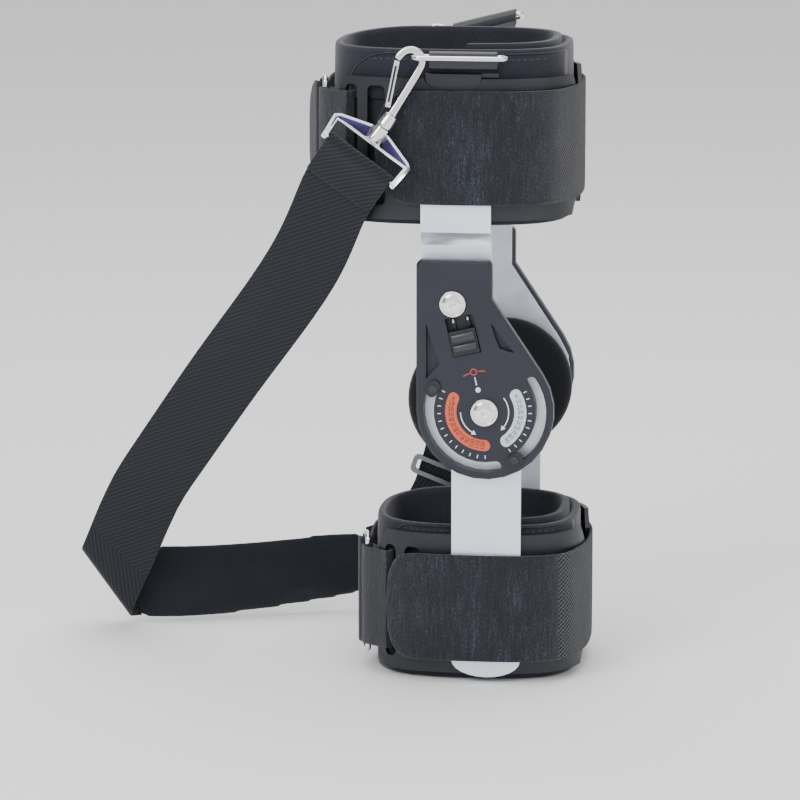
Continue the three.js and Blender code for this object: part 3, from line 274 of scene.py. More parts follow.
def plastic_material(name, colour, roughness, grain):
    """Moulded plastic: a fine spark-eroded grain and a slightly uneven satin."""
    material, shader = new_material(name, colour, roughness)
    shader.inputs["Specular IOR Level"].default_value = 0.45
    wear = noise(material, 70, detail=3.0)
    colour_by(material, shader, wear, (0.3, level(colour, 0.9)), (0.7, level(colour, 1.12)))
    roughness_by(material, shader, wear, roughness, 0.88, 1.15)
    emboss(material, shader, noise(material, 2600), grain * MM)
    return material


def metal_material(name, colour, roughness, brushed, metallic=1.0):
    """Metal with fine draw lines along Z and faint handling marks."""
    material, shader = new_material(name, colour, roughness, metallic)
    marks = noise(material, 90, detail=4.0)
    colour_by(material, shader, marks, (0.3, level(colour, 0.95)), (0.7, colour))
    roughness_by(material, shader, marks, roughness, 0.8, 1.3)
    emboss(material, shader, noise(material, (3200, 3200, brushed)), 0.02 * MM)
    return material


def print_material(name, colour):
    """Pad-printed ink with a little unevenness."""
    material, shader = new_material(name, colour, 0.55)
    patches = noise(material, 900, detail=3.0)
    colour_by(material, shader, patches, (0.3, level(colour, 0.88)), (0.7, level(colour, 1.06)))
    return material


# Padding takes its knit in grains per metre, plastic its roughness and its grain's height in mm,
# metal its roughness, its draw lines per metre and how metallic it is
MATERIALS = {
    "loop_cloth": loop_cloth_material(),
    "webbing": webbing_material(),
    "foam": padding_material("liner_cloth", (0.024, 0.0255, 0.036), 1500),
    "binding": padding_material("binding_tape", (0.012, 0.013, 0.019), 2600),
    "pad_foam": padding_material("pad_foam", (0.0075, 0.0085, 0.012), 1900),
    "padded_cloth": padding_material("pad_cloth", (0.0125, 0.0155, 0.021), 2200),
    "thread": padding_material("thread", (0.055, 0.058, 0.072), 3500),
    "shell": plastic_material("shell_plastic", (0.0098, 0.0112, 0.0178), 0.42, 0.04),
    "cover": plastic_material("cover_plastic", (0.0102, 0.0122, 0.0225), 0.4, 0.03),
    "dark_plastic": plastic_material("dark_plastic", (0.011, 0.012, 0.016), 0.45, 0.03),
    "slider_plastic": plastic_material("slider_plastic", (0.026, 0.03, 0.042), 0.3, 0.02),
    "pale_plastic": plastic_material("pale_plastic", (0.75, 0.78, 0.82), 0.4, 0.02),
    "vinyl": plastic_material("vinyl", (0.017, 0.0185, 0.0265), 0.3, 0.06),
    "bar": metal_material("satin_aluminium", (0.82, 0.88, 0.96), 0.4, 60, 0.6),
    "nickel": metal_material("bright_nickel", (0.86, 0.86, 0.88), 0.13, 900),
    "grey_metal": metal_material("grey_metal", (0.20, 0.21, 0.23), 0.3, 900),
    "screw": metal_material("screw_nickel", (0.9, 0.9, 0.9), 0.1, 900),
    "tinted_web": metal_material("tinted_web", (0.045, 0.035, 0.135), 0.35, 900, 0.6),
    "orange_print": print_material("orange_print", (0.62, 0.10, 0.04)),
    "pale_print": print_material("pale_print", (0.55, 0.65, 0.74)),
    "white_print": print_material("white_print", (0.8, 0.82, 0.85)),
    "red_print": print_material("red_print", (0.45, 0.04, 0.05)),
    "dark_print": print_material("dark_print", (0.10, 0.012, 0.008)),
    "grey_print": print_material("grey_print", (0.05, 0.07, 0.10)),
}


# Mesh tools
def select_only(*objects):
    bpy.ops.object.select_all(action="DESELECT")
    for obj in objects:
        obj.select_set(True)
    bpy.context.view_layer.objects.active = objects[0]


def modify(obj, kind, **settings):
    """Adds a modifier, sets it and applies it."""
    modifier = obj.modifiers.new(kind.lower(), kind)
    for key, value in settings.items():
        setattr(modifier, key, value)
    select_only(obj)
    bpy.ops.object.modifier_apply(modifier=modifier.name)


def bevelled(obj, width, segments, angle=40):
    """Bevels the edges sharper than an angle in degrees."""
    modify(
        obj,
        "BEVEL",
        width=width,
        segments=segments,
        limit_method="ANGLE",
        angle_limit=math.radians(angle),
        harden_normals=False,
    )


def subdivided(obj, levels):
    modify(obj, "SUBSURF", levels=levels, render_levels=levels)


def cut_out(obj, tool):
    """Cuts a tool's shape out of a piece, and drops the tool."""
    modify(obj, "BOOLEAN", operation="DIFFERENCE", solver="EXACT", object=tool)
    bpy.data.objects.remove(tool)


def shade_smooth(obj):
    select_only(obj)
    bpy.ops.object.shade_smooth()


def smooth_by_angle(obj, angle=40):
    select_only(obj)
    bpy.ops.object.shade_smooth_by_angle(angle=math.radians(angle))


def round_off(obj, edge, segments, angle=35):
    """Rounds every sharp edge, and keeps curved faces smooth and flat ones flat."""
    bevelled(obj, edge, segments, angle)
    smooth_by_angle(obj, angle + 10)
    modify(obj, "WEIGHTED_NORMAL", keep_sharp=True)


def mesh_box(obj):
    spots = [vertex.co for vertex in obj.data.vertices]
    low = [min(spot[axis] for spot in spots) for axis in range(3)]
    high = [max(spot[axis] for spot in spots) for axis in range(3)]
    return low, high


# Pieces that start as solids of the frame
def copy_of(node, name=None):
    """A piece that starts as a merged copy of a solid and stands for it."""
    source = frame["nodes"][node]
    obj = bpy.data.objects.new(name or f"{node}_piece", source.data.copy())
    scene.collection.objects.link(obj)
    obj.data.materials.clear()
    select_only(obj)
    bpy.ops.object.mode_set(mode="EDIT")
    bpy.ops.mesh.select_all(action="SELECT")
    bpy.ops.mesh.remove_doubles(threshold=0.02 * MM)
    bpy.ops.mesh.tris_convert_to_quads(face_threshold=math.radians(3), shape_threshold=math.radians(180))
    bpy.ops.object.mode_set(mode="OBJECT")
    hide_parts(node)
    return obj


def body_of(node):
    return frame["nodes"][node]["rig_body"]


def give(obj, key):
    obj.data.materials.clear()
    obj.data.materials.append(MATERIALS[key])


def finish_piece(obj, body, material):
    """Gives a piece its finish and body."""
    give(obj, material)
    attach(obj, body)
    return obj


def hard_piece(node, material, edge, segments=2):
    """A moulded or pressed piece: its solid with rounded edges and smooth curved faces."""
    obj = copy_of(node)
    round_off(obj, edge * MM, segments)
    return finish_piece(obj, body_of(node), material)


def round_piece(node, material, swell):
    """A wire or rod: its many-sided solid swelled a little, then subdivided round."""
    obj = copy_of(node)
    modify(obj, "DISPLACE", strength=swell * MM, mid_level=0)
    subdivided(obj, 2)
    shade_smooth(obj)
    return finish_piece(obj, body_of(node), material)


# Cloth maps
# Edges of a strap sharper than this part its faces from its sides, in degrees
SEAM_ANGLE = 55


def lay_flat(obj):
    """Unwraps a strap face by face and turns its map so that X runs along it, in metres."""
    select_only(obj)
    mesh = obj.data
    if not mesh.uv_layers:
        mesh.uv_layers.new(name="cloth")
    bpy.ops.object.mode_set(mode="EDIT")
    bpy.ops.mesh.select_all(action="DESELECT")
    bpy.ops.mesh.select_mode(type="EDGE")
    bpy.ops.mesh.edges_select_sharp(sharpness=math.radians(SEAM_ANGLE))
    bpy.ops.mesh.mark_seam()
    bpy.ops.mesh.select_all(action="SELECT")
    bpy.ops.uv.unwrap(method="ANGLE_BASED", margin=0.01)
    bpy.ops.object.mode_set(mode="OBJECT")
    turn_map(mesh)


def islands_of(mesh):
    """Face lists of the parts that seams separate."""
    link = bmesh.new()
    link.from_mesh(mesh)
    link.faces.ensure_lookup_table()
    seen, islands = set(), []
    for start in link.faces:
        if start.index in seen:
            continue
        seen.add(start.index)
        stack, island = [start], []
        while stack:
            face = stack.pop()
            island.append(face.index)
            for edge in face.edges:
                if edge.seam:
                    continue
                for other in edge.link_faces:
                    if other.index not in seen:
                        seen.add(other.index)
                        stack.append(other)
        islands.append(island)
    link.free()
    return islands


def turn_map(mesh):
    """Turns each island along its longest way and gives it the area of its faces."""
    layer = mesh.uv_layers.active.data
    for island in islands_of(mesh):
        loops = [i for f in island for i in mesh.polygons[f].loop_indices]
        spots = np.array([layer[i].uv[:] for i in loops])
        middle = spots.mean(0)
        _, _, axes = np.linalg.svd(spots - middle, full_matrices=False)
        turned = (spots - middle) @ axes.T
        real = sum(mesh.polygons[f].area for f in island)
        flat = 0.0
        start = 0
        for f in island:
            count = len(mesh.polygons[f].loop_indices)
            ring = turned[start:start + count]
            following = np.roll(ring, -1, 0)
            flat += abs((ring[:, 0] * following[:, 1] - ring[:, 1] * following[:, 0]).sum()) / 2
            start += count
        turned *= math.sqrt(real / max(flat, 1e-12))
        for i, spot in zip(loops, turned):
            layer[i].uv = spot


def strap_piece(node, material, edge):
    """A strap: its solid mapped along its length, with soft edges and subdivided smooth."""
    obj = copy_of(node)
    lay_flat(obj)
    bevelled(obj, edge, 2, SEAM_ANGLE)
    subdivided(obj, 1)
    shade_smooth(obj)
    return finish_piece(obj, body_of(node), material)


# New pieces: a primitive, shaped in edit mode, then set in its place
def primitive(kind, name, **settings):
    bpy.ops.object.select_all(action="DESELECT")
    getattr(bpy.ops.mesh, f"primitive_{kind}_add")(**settings)
    obj = bpy.context.active_object
    obj.name = name
    bpy.ops.object.transform_apply(location=True, rotation=True, scale=True)
    return obj


def block(name, *size):
    """A box of the given size round the origin."""
    obj = primitive("cube", name, size=1)
    obj.data.transform(Matrix.Diagonal((*size, 1)))
    return obj


def new_mesh(name, vertices, faces):
    mesh = bpy.data.meshes.new(name)
    mesh.from_pydata([tuple(vertex) for vertex in vertices], [], faces)
    mesh.update()
    obj = bpy.data.objects.new(name, mesh)
    scene.collection.objects.link(obj)
    return obj


def copy_mesh(obj):
    copy = bpy.data.objects.new(obj.name, obj.data.copy())
    scene.collection.objects.link(copy)
    return copy


def choose(obj, kind, test):
    """Selects, for edit mode, the faces or edges that pass a test."""
    mesh = obj.data
    for group in (mesh.vertices, mesh.edges, mesh.polygons):
        for item in group:
            item.select = False
    if kind == "FACE":
        for face in mesh.polygons:
            face.select = test(face)
    else:
        for edge in mesh.edges:
            edge.select = test(*(mesh.vertices[i].co for i in edge.vertices))
    select_only(obj)
    bpy.ops.object.mode_set(mode="EDIT")
    bpy.ops.mesh.select_mode(type=kind)


def leave_edit(obj):
    bpy.ops.object.mode_set(mode="OBJECT")
    return obj


def upright(a, b):
    """Whether an edge between two points of a flat shape stands upright on it."""
    return (a.xy - b.xy).length < 0.01


def outwards(obj):
    select_only(obj)
    bpy.ops.object.mode_set(mode="EDIT")
    bpy.ops.mesh.select_all(action="SELECT")
    bpy.ops.mesh.remove_doubles(threshold=0.001 * MM)
    bpy.ops.mesh.normals_make_consistent(inside=False)
    return leave_edit(obj)


def joined(name, objects):
    """One piece from several, each already in its place."""
    select_only(*objects)
    if len(objects) > 1:
        bpy.ops.object.join()
    objects[0].name = name
    return objects[0]


def tube(name, path, radius, sides=10):
    """A closed round tube along a path."""
    rings = []
    for i, spot in enumerate(path):
        ahead = (path[min(i + 1, len(path) - 1)] - path[max(i - 1, 0)]).normalized()
        across = ahead.cross(Vector((0, 1, 0))).normalized()
        out = across.cross(ahead)
        rings.append([
            spot + (across * math.cos(turn) + out * math.sin(turn)) * radius
            for turn in (2 * math.pi * k / sides for k in range(sides))
        ])
    vertices = [spot for ring in rings for spot in ring]
    faces = [
        (i * sides + k, i * sides + (k + 1) % sides, (i + 1) * sides + (k + 1) % sides, (i + 1) * sides + k)
        for i in range(len(rings) - 1)
        for k in range(sides)
    ]
    last = (len(rings) - 1) * sides
    faces += [tuple(range(sides))[::-1], tuple(last + k for k in range(sides))]
    obj = outwards(new_mesh(name, vertices, faces))
    shade_smooth(obj)
    return obj


def on_face(side):
    """From a hinge's face, X right, Y up and Z outwards from the pivot in mm, to the frame."""
    facing = FACING[side]
    return Matrix((
        (MM, 0, 0, HINGE.x),
        (0, 0, facing * MM, HINGE.y),
        (0, MM, 0, HINGE.z),
        (0, 0, 0, 1),
    ))


def place_on_face(obj, side, x=0.0, y=0.0, out=0.0, turn=0.0):
    """Sets a mesh drawn in mm on a hinge's face, turned there by some degrees."""
    spot = Matrix.Translation((x, y, out)) @ Matrix.Rotation(math.radians(turn), 4, "Z")
    obj.data.transform(on_face(side) @ spot)
    return outwards(obj)


def spot_on_face(node):
    """Where a solid lies on its hinge's face: its middle, its width and how far out it reaches, in mm."""
    low, high = (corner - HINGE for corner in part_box(node))
    middle = (low + high) / 2 / MM
    return Vector((middle.x, middle.z)), (high.x - low.x) / MM, max(abs(low.y), abs(high.y)) / MM


# Hinge dials. Angles in degrees from the right, anticlockwise; lengths in mm
COVER_OUT = 61.0
INK = 0.07
ON_COVER = COVER_OUT + INK / 2
ARC_STEP = 5
BANDS = [
    {
        "name": "flexion_band", "ink": "orange_print", "number_ink": "dark_print",
        "radius": 17.0, "half": 2.85, "start": 156.0, "end": 270.5,
        "count": 13, "number": 158.0, "number_step": 9.1, "tick": 154.0, "tick_step": 9.75,
    },
    {
        "name": "extension_band", "ink": "pale_print", "number_ink": "grey_print",
        "radius": 18.0, "half": 3.0, "start": -53.0, "end": 30.0,
        "count": 10, "number": 27.4, "number_step": -8.75, "tick": 27.9, "tick_step": -9.38,
    },
]
BAND_OVERHANG = 9
NUMBER_SIZE = 3.0
TICK_RADIUS, TICK_LENGTH, TICK_WIDTH = 22.9, 1.8, 0.42
# Start and end of each arrow: the way its stop is turned as it is set
ARROWS = [(182.0, 240.0), (38.0, -38.0)]
ARROW_RADIUS, ARROW_WIDTH, ARROW_HEAD, ARROW_REACH = 12.1, 0.5, 1.5, 3
# The open mark is a small ring with a short arc on each side, the shut mark a dot, a line between them
OPEN_MARK = {"x": -5.6, "y": 20.2, "radius": 1.5, "half": 0.28}
OPEN_ARCS = {"radius": 20.9, "half": 0.3, "spans": [(111, 121), (89, 99)]}
SHUT_MARK = {"x": -3.3, "y": 11.2, "radius": 1.3}
MARK_LINE = {"x": -4.5, "y": 15.5, "length": 4.2, "width": 0.5, "turn": 13}


def arc_strip(name, radius, half, start, end, round_ends=True):
    """A flat strip of ink along an arc, spun from a rectangle, its ends rounded by bevels."""
    step = max(ARC_STEP, math.degrees(half / radius)) if round_ends else ARC_STEP
    strip = primitive("plane", name, size=1, rotation=(math.pi / 2, 0, 0))
    strip.data.transform(
        Matrix.Rotation(math.radians(start), 4, "Z")
        @ Matrix.Translation((radius, 0, INK / 2))
        @ Matrix.Diagonal((2 * half, 1, INK, 1))
    )
    choose(strip, "FACE", lambda face: True)
    bpy.ops.mesh.spin(
        steps=max(2, round(abs(end - start) / step)),
        angle=-math.radians(end - start),
        center=(0, 0, 0),
        axis=(0, 0, 1),
    )
    outwards(leave_edit(strip))
    if round_ends:
        ends = [math.radians(start), math.radians(end)]

        def upright_end(a, b):
            angle = math.atan2(a.y, a.x)
            return upright(a, b) and any(abs(math.remainder(angle - e, 2 * math.pi)) < 0.01 for e in ends)

        choose(strip, "EDGE", upright_end)
        bpy.ops.mesh.bevel(offset=half * 0.97, segments=6, affect="EDGES", clamp_overlap=False)
        leave_edit(strip)
    return strip


def numeral(text, side, radius, angle):
    """A printed number lying along the dial's radius, upright for whoever faces that side."""
    bpy.ops.object.select_all(action="DESELECT")
    bpy.ops.object.text_add()
    letters = bpy.context.active_object
    letters.data.body = text
    letters.data.size = NUMBER_SIZE
    letters.data.align_x = "CENTER"
    letters.data.align_y = "CENTER"
    letters.data.extrude = INK / 2
    letters.data.resolution_u = 2
    select_only(letters)
    bpy.ops.object.convert(target="MESH")
    letters = bpy.context.active_object
    facing = FACING[side]
    spoke = Vector((math.cos(math.radians(angle)), 0, math.sin(math.radians(angle))))
    reading = spoke if -facing * spoke.x >= 0 else -spoke
    outward = Vector((0, facing, 0))
    turn = Matrix((reading, outward.cross(reading), outward)).transposed().to_4x4()
    spot = on_face(side) @ Vector((radius * spoke.x, radius * spoke.z, COVER_OUT + 1.5 * INK))
    letters.data.transform(Matrix.Translation(spot) @ turn @ Matrix.Scale(MM, 4))
    return letters


def on_arc(radius, angle):
    return radius * math.cos(math.radians(angle)), radius * math.sin(math.radians(angle))


def build_band(side, body, band):
    """A dial's coloured band with its numbers, and the ticks outside it, which are given back."""
    name, radius = f"{side}_{band['name']}", band["radius"]
    strip = arc_strip(name, radius, band["half"], band["start"] - BAND_OVERHANG, band["end"] + BAND_OVERHANG)
    finish_piece(place_on_face(strip, side, out=COVER_OUT), body, band["ink"])
    numbers = [
        numeral(str(10 * i), side, radius, band["number"] + band["number_step"] * i)
        for i in range(band["count"])
    ]
    finish_piece(joined(f"{name}_numbers", numbers), body, band["number_ink"])
    tick = block("tick", TICK_LENGTH, TICK_WIDTH, INK)
    choose(tick, "EDGE", upright)
    bpy.ops.mesh.bevel(offset=TICK_WIDTH * 0.4, segments=3, affect="EDGES")
    leave_edit(tick)
    ticks = []
    for i in range(band["count"]):
        angle = band["tick"] + band["tick_step"] * i
        ticks.append(place_on_face(copy_mesh(tick), side, *on_arc(TICK_RADIUS, angle), ON_COVER, angle))
    bpy.data.objects.remove(tick)
    return ticks


def build_arrow(side, start, end):
    """A curved arrow round the pivot, as its shaft and its head."""
    way = math.copysign(1, end - start)
    shaft = arc_strip("arrow", ARROW_RADIUS, ARROW_WIDTH / 2, start, end, round_ends=False)
    head = primitive(
        "cone", "arrow_head", vertices=3, radius1=ARROW_HEAD, radius2=ARROW_HEAD * 0.94, depth=INK
    )
    x, y = on_arc(ARROW_RADIUS, end + way * ARROW_REACH)
    return [
        place_on_face(shaft, side, out=COVER_OUT),
        place_on_face(head, side, x, y, ON_COVER, end + way * 90 - 90),
    ]


def build_dial(side):
    """The printed scales and marks on a hinge's cover."""
    body = body_of(f"{side}_hinge_cover")
    ticks = [tick for band in BANDS for tick in build_band(side, body, band)]
    finish_piece(joined(f"{side}_dial_ticks", ticks), body, "white_print")
    arrows = [part for span in ARROWS for part in build_arrow(side, *span)]
    finish_piece(joined(f"{side}_turning_arrows", arrows), body, "white_print")
    ring = arc_strip("open_mark", OPEN_MARK["radius"], OPEN_MARK["half"], 0, 359, round_ends=False)
    mark = [place_on_face(ring, side, OPEN_MARK["x"], OPEN_MARK["y"], COVER_OUT)]
    for span in OPEN_ARCS["spans"]:
        bow = arc_strip("open_arc", OPEN_ARCS["radius"], OPEN_ARCS["half"], *span)
        mark.append(place_on_face(bow, side, out=COVER_OUT))
    finish_piece(joined(f"{side}_open_mark", mark), body, "red_print")
    dot = primitive("cylinder", "shut_mark", vertices=24, radius=SHUT_MARK["radius"], depth=INK)
    place_on_face(dot, side, SHUT_MARK["x"], SHUT_MARK["y"], ON_COVER)
    line = block("mark_line", MARK_LINE["width"], MARK_LINE["length"], INK)
    place_on_face(line, side, MARK_LINE["x"], MARK_LINE["y"], ON_COVER, MARK_LINE["turn"])
    finish_piece(joined(f"{side}_shut_mark", [dot, line]), body, "white_print")


# Screws, slider and stops, in mm
# Rings of a screw's head from its rim inwards: their widths as shares of its radius, and their rises
HEAD_RINGS = [(0.16, 0), (0.03, -0.5), (0.03, 0.55), (0.16, 0.35), (0.18, 0.18), (0.12, 0.03)]
HEAD_HEIGHT, HEAD_OVERLAP, HEAD_EXTRA = 1.65, 1.6, 0.05
SOCKET = {"radius": 0.27, "depth": 2.4, "rise": 0.3}
SLIDER_TURN = 13.0
# Each thumb ridge's place along the slider and its radius
RIDGES = [(2.6, 2.3), (-2.6, 2.0)]
RIDGE = {"length": 11.6, "flatness": 0.55, "sunk": 0.9}
# The spring fork beside the slider's track: its prongs' places, the pocket's floor and their height
FORK_PRONGS = (-3.7, 3.7)
FORK_FLOOR = 56.05
FORK_HEIGHT = 1.9
PRONG = {"width": 1.8, "length": 5.4, "along": 8.9, "lower": 0.3}
PRONG_TIP = {"shape": (0.85, 1.25, 0.7), "along": 10.7, "sunk": 0.7}
GROOVE = {"width": 2.6, "length": 24, "spare": 0.6}
STOP_HEAD = {"radius": 1.9, "height": 0.8, "lift": 0.38, "turn": 20}
STOP_SLOT = {"length": 2.5, "width": 0.55, "height": 1.0}


def round_head(name, radius, out):
    """A domed screw head: a flat rim, a groove, a crowned middle and a six-sided socket."""
    head = primitive("cylinder", name, vertices=48, radius=radius, depth=HEAD_HEIGHT, end_fill_type="NGON")
    head.data.transform(Matrix.Translation((0, 0, out + HEAD_HEIGHT / 2)))
    choose(head, "FACE", lambda face: face.normal.z > 0.9)
    for share, rise in HEAD_RINGS:
        bpy.ops.mesh.inset(thickness=radius * share, depth=rise)
    leave_edit(head)
    driver = primitive(
        "cylinder", "socket", vertices=6, radius=radius * SOCKET["radius"], depth=SOCKET["depth"]
    )
    driver.data.transform(Matrix.Translation((0, 0, out + HEAD_HEIGHT + SOCKET["rise"])))
    cut_out(head, driver)
    bevelled(head, 0.12, 2, 30)
    return head


def build_screw_heads(side):
    """Bright heads over the plain shafts that go through the cover."""
    for screw in ("pivot_screw", "upper_screw"):
        node = f"{side}_{screw}"
        middle, width, reach = spot_on_face(node)
        finish_piece(copy_of(node, f"{node}_shaft"), body_of(node), "screw")
        head = round_head(f"{node}_head", width / 2 + HEAD_EXTRA, reach - HEAD_OVERLAP)
        place_on_face(head, side, *middle)
        smooth_by_angle(head)
        finish_piece(head, body_of(node), "screw")


def build_slider(side):
    """The lock slider with two thumb ridges, grooved below so that it slides over the spring fork."""
    node = f"{side}_lock_slider"
    middle, _, reach = spot_on_face(node)
    turn = Matrix.Rotation(math.radians(SLIDER_TURN), 2)

    def place(obj, across, along, out):
        return place_on_face(obj, side, *(middle + turn @ Vector((across, along))), out, SLIDER_TURN)

    slider = copy_of(node)
    for across in FORK_PRONGS:
        groove = block("groove", GROOVE["width"], GROOVE["length"], 2 * FORK_HEIGHT + GROOVE["spare"])
        cut_out(slider, place(groove, across, 0, FORK_FLOOR))
    round_off(slider, 0.2 * MM, 2)
    finish_piece(slider, body_of(node), "dark_plastic")

    parts = []
    for along, radius in RIDGES:
        ridge = primitive(
            "cylinder", "ridge",
            vertices=28, radius=radius, depth=RIDGE["length"], rotation=(0, math.pi / 2, 0),
        )
        ridge.data.transform(Matrix.Diagonal((1, 1, RIDGE["flatness"], 1)))
        bevelled(ridge, 0.35, 3)
        parts.append(place(ridge, 0, along, reach - RIDGE["sunk"]))
    ridges = joined(f"{side}_slider_ridges", parts)
    smooth_by_angle(ridges)
    finish_piece(ridges, body_of(node), "slider_plastic")

    parts, tips = [], []
    for across in FORK_PRONGS:
        prong = block("prong", PRONG["width"], PRONG["length"], FORK_HEIGHT - PRONG["lower"])
        bevelled(prong, 0.3, 2)
        parts.append(place(prong, across, PRONG["along"], FORK_FLOOR + FORK_HEIGHT / 2))
        tip = primitive("uv_sphere", "prong_tip", segments=20, ring_count=12, radius=1.0)
        tip.data.transform(Matrix.Diagonal((*PRONG_TIP["shape"], 1)))
        place(tip, across, PRONG_TIP["along"], FORK_FLOOR + FORK_HEIGHT - PRONG_TIP["sunk"])
        shade_smooth(tip)
        tips.append(tip)
    cover_body = body_of(f"{side}_hinge_cover")
    prongs = joined(f"{side}_spring_fork", parts)
    smooth_by_angle(prongs)
    finish_piece(prongs, cover_body, "dark_plastic")
    finish_piece(joined(f"{side}_fork_tips", tips), cover_body, "pale_plastic")


def build_stop_heads(side):
    """A round cross-slotted head on each stop."""
    for stop in ("flexion_stop", "extension_stop"):
        node = f"{side}_{stop}"
        middle, _, reach = spot_on_face(node)
        head = primitive(
            "cylinder", f"{node}_head", vertices=32, radius=STOP_HEAD["radius"], depth=STOP_HEAD["height"]
        )
        for turn in (0, 90):
            slot = block("slot", STOP_SLOT["length"], STOP_SLOT["width"], STOP_SLOT["height"])
            slot.data.transform(
                Matrix.Rotation(math.radians(turn + STOP_HEAD["turn"]), 4, "Z")
                @ Matrix.Translation((0, 0, STOP_SLOT["height"] / 2))
            )
            cut_out(head, slot)
        bevelled(head, 0.1, 2, 30)
        place_on_face(head, side, *middle, reach + STOP_HEAD["lift"])
        smooth_by_angle(head)
        finish_piece(head, body_of(node), "slider_plastic")


# Snap hook, its bracket and the tab, in mm
GATE_SLOT = {"width": 0.9, "end": 2.6, "depth": 20}
WEB_INSET = 1.3
WEB_DEPTH = 0.7
WEB_LEAST_AREA = 4
# The tab's root: its middle along X from the pivot, its size, and how far it lies in and below the
# frame's outer face and top
TAB_ROOT = {"x": -17.2, "size": (28.2, 1.3, 8.6), "in": 2.0, "below": 1.9, "corner": 5.5}


def build_hook(side):
    """The hook's smooth bent wire, and its gate of two thin wires side by side."""
    body = copy_of(f"{side}_hook_body")
    bevelled(body, 0.8 * MM, 2, 50)
    subdivided(body, 1)
    shade_smooth(body)
    finish_piece(body, body_of(f"{side}_hook_body"), "nickel")
    gate = copy_of(f"{side}_hook_gate")
    spots = np.array([vertex.co[:] for vertex in gate.data.vertices])
    middle = spots.mean(0)
    _, _, axes = np.linalg.svd(spots - middle, full_matrices=False)
    length = np.ptp((spots - middle) @ axes[0])
    # The slot goes through the gate from the side that the hook's plane faces
    end, width, depth = (GATE_SLOT[key] * MM for key in ("end", "width", "depth"))
    slot = block("gate_slot", length - 2 * end, width, depth)
    turn = Matrix([Vector(axis) for axis in axes]).transposed().to_4x4()
    slot.data.transform(Matrix.Translation(Vector(middle)) @ turn)
    cut_out(gate, outwards(slot))
    round_off(gate, 0.35 * MM, 2, 50)
    finish_piece(gate, body_of(f"{side}_hook_gate"), "nickel")


def build_bracket(side):
    """The bracket's bright rim around a sunk web that shows a violet tint."""
    node = f"{side}_hook_bracket"
    bracket = copy_of(node)
    mesh = bracket.data
    widest = max(mesh.polygons, key=lambda face: face.area).normal.copy()
    if widest.y * FACING[side] < 0:
        widest.negate()

    def faces_out(face):
        return face.normal.dot(widest) > 0.99

    wide = [f for f in mesh.polygons if faces_out(f) and f.area > WEB_LEAST_AREA * MM * MM]
    plane = max((face.center.dot(widest) for face in wide), default=0)
    choose(
        bracket,
        "FACE",
        lambda face: faces_out(face) and abs(face.center.dot(widest) - plane) < 0.3 * MM,
    )
    bpy.ops.mesh.inset(thickness=WEB_INSET * MM, depth=-WEB_DEPTH * MM, use_boundary=True)
    leave_edit(bracket)
    web = [face.index for face in mesh.polygons if face.select]
    finish_piece(bracket, body_of(node), "nickel")
    mesh.materials.append(MATERIALS["tinted_web"])
    for index in web:
        mesh.polygons[index].material_index = 1
    smooth_by_angle(bracket)


def build_tab_root(side):
    """The tab's root, where it comes out of the notch in the frame's edge."""
    facing = FACING[side]
    frame_low, frame_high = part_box(f"thigh_frame_{side}")
    outer = frame_low.y if facing < 0 else frame_high.y
    root = block(f"{side}_tab_root", *(length * MM for length in TAB_ROOT["size"]))
    root.data.transform(Matrix.Translation((
        HINGE.x + TAB_ROOT["x"] * MM,
        outer - facing * TAB_ROOT["in"] * MM,
        frame_high.z - TAB_ROOT["below"] * MM,
    )))
    choose(root, "EDGE", lambda a, b: abs(a.y - b.y) > 1 * MM and max(a.z, b.z) < frame_high.z - 2 * MM)
    bpy.ops.mesh.bevel(offset=TAB_ROOT["corner"] * MM, segments=7, affect="EDGES")
    leave_edit(root)
    round_off(root, 0.4 * MM, 3)
    finish_piece(root, body_of(f"{side}_loop_tab"), "vinyl")


def build_hard_pieces():
    for cuff in ("thigh", "calf"):
        for side in SIDES:
            hard_piece(f"{cuff}_frame_{side}", "shell", 0.7, 3)
        round_piece(f"{cuff}_strap_ring", "nickel", 0.25)
    for side in SIDES:
        hard_piece(f"{side}_upper_bar", "bar", 0.35)
        hard_piece(f"{side}_lower_bar", "bar", 0.35)
        hard_piece(f"{side}_hinge_cover", "cover", 0.5, 3)
        hard_piece(f"{side}_flexion_stop", "dark_plastic", 0.4, 3)
        hard_piece(f"{side}_extension_stop", "dark_plastic", 0.4, 3)
        hard_piece(f"{side}_loop_tab", "vinyl", 0.45, 3)
        round_piece(f"{side}_wire_loop", "nickel", 0.2)
        build_hook(side)
        build_bracket(side)
        build_tab_root(side)
        build_dial(side)
        build_screw_heads(side)
        build_slider(side)
        build_stop_heads(side)
    hard_piece("shoulder_strap_adjuster", "grey_metal", 0.5, 3)


# Sheets: each strap's wall and width in mm, how it is held, and what it lies on or hangs from
SHEETS = {
    "thigh_strap": (1.6, 56.8, "stretched", ["thigh_frame_lateral_piece", "thigh_frame_medial_piece"]),
    "calf_strap": (1.6, 55.0, "stretched", ["calf_frame_lateral_piece", "calf_frame_medial_piece"]),
    "thigh_strap_stub": (1.3, 52.8, "stretched", ["thigh_frame_lateral_piece"]),
    "calf_strap_stub": (1.3, 51.0, "stretched", ["calf_frame_lateral_piece"]),
    "shoulder_webbing_front": (1.4, 38.0, "hung", ["lateral_hook_bracket_piece"]),
    "shoulder_webbing_rear": (1.4, 38.0, "hung", ["medial_hook_bracket_piece"]),
}
LINER_EDGE = 1.6
# Share of a strap's wall that its edges are rounded by
STRAP_EDGE = 0.25

# The padded section is blown up in cells this large, over so many frames, and moves no further than
# the limit, nor past its own box by more than the spare
PUFF_CELL = 1.7 * MM
PUFF_PRESSURE = 3.0
PUFF_FRAMES = 20
PUFF_LIMIT = 1.2 * MM
PUFF_SPARE = 0.4 * MM
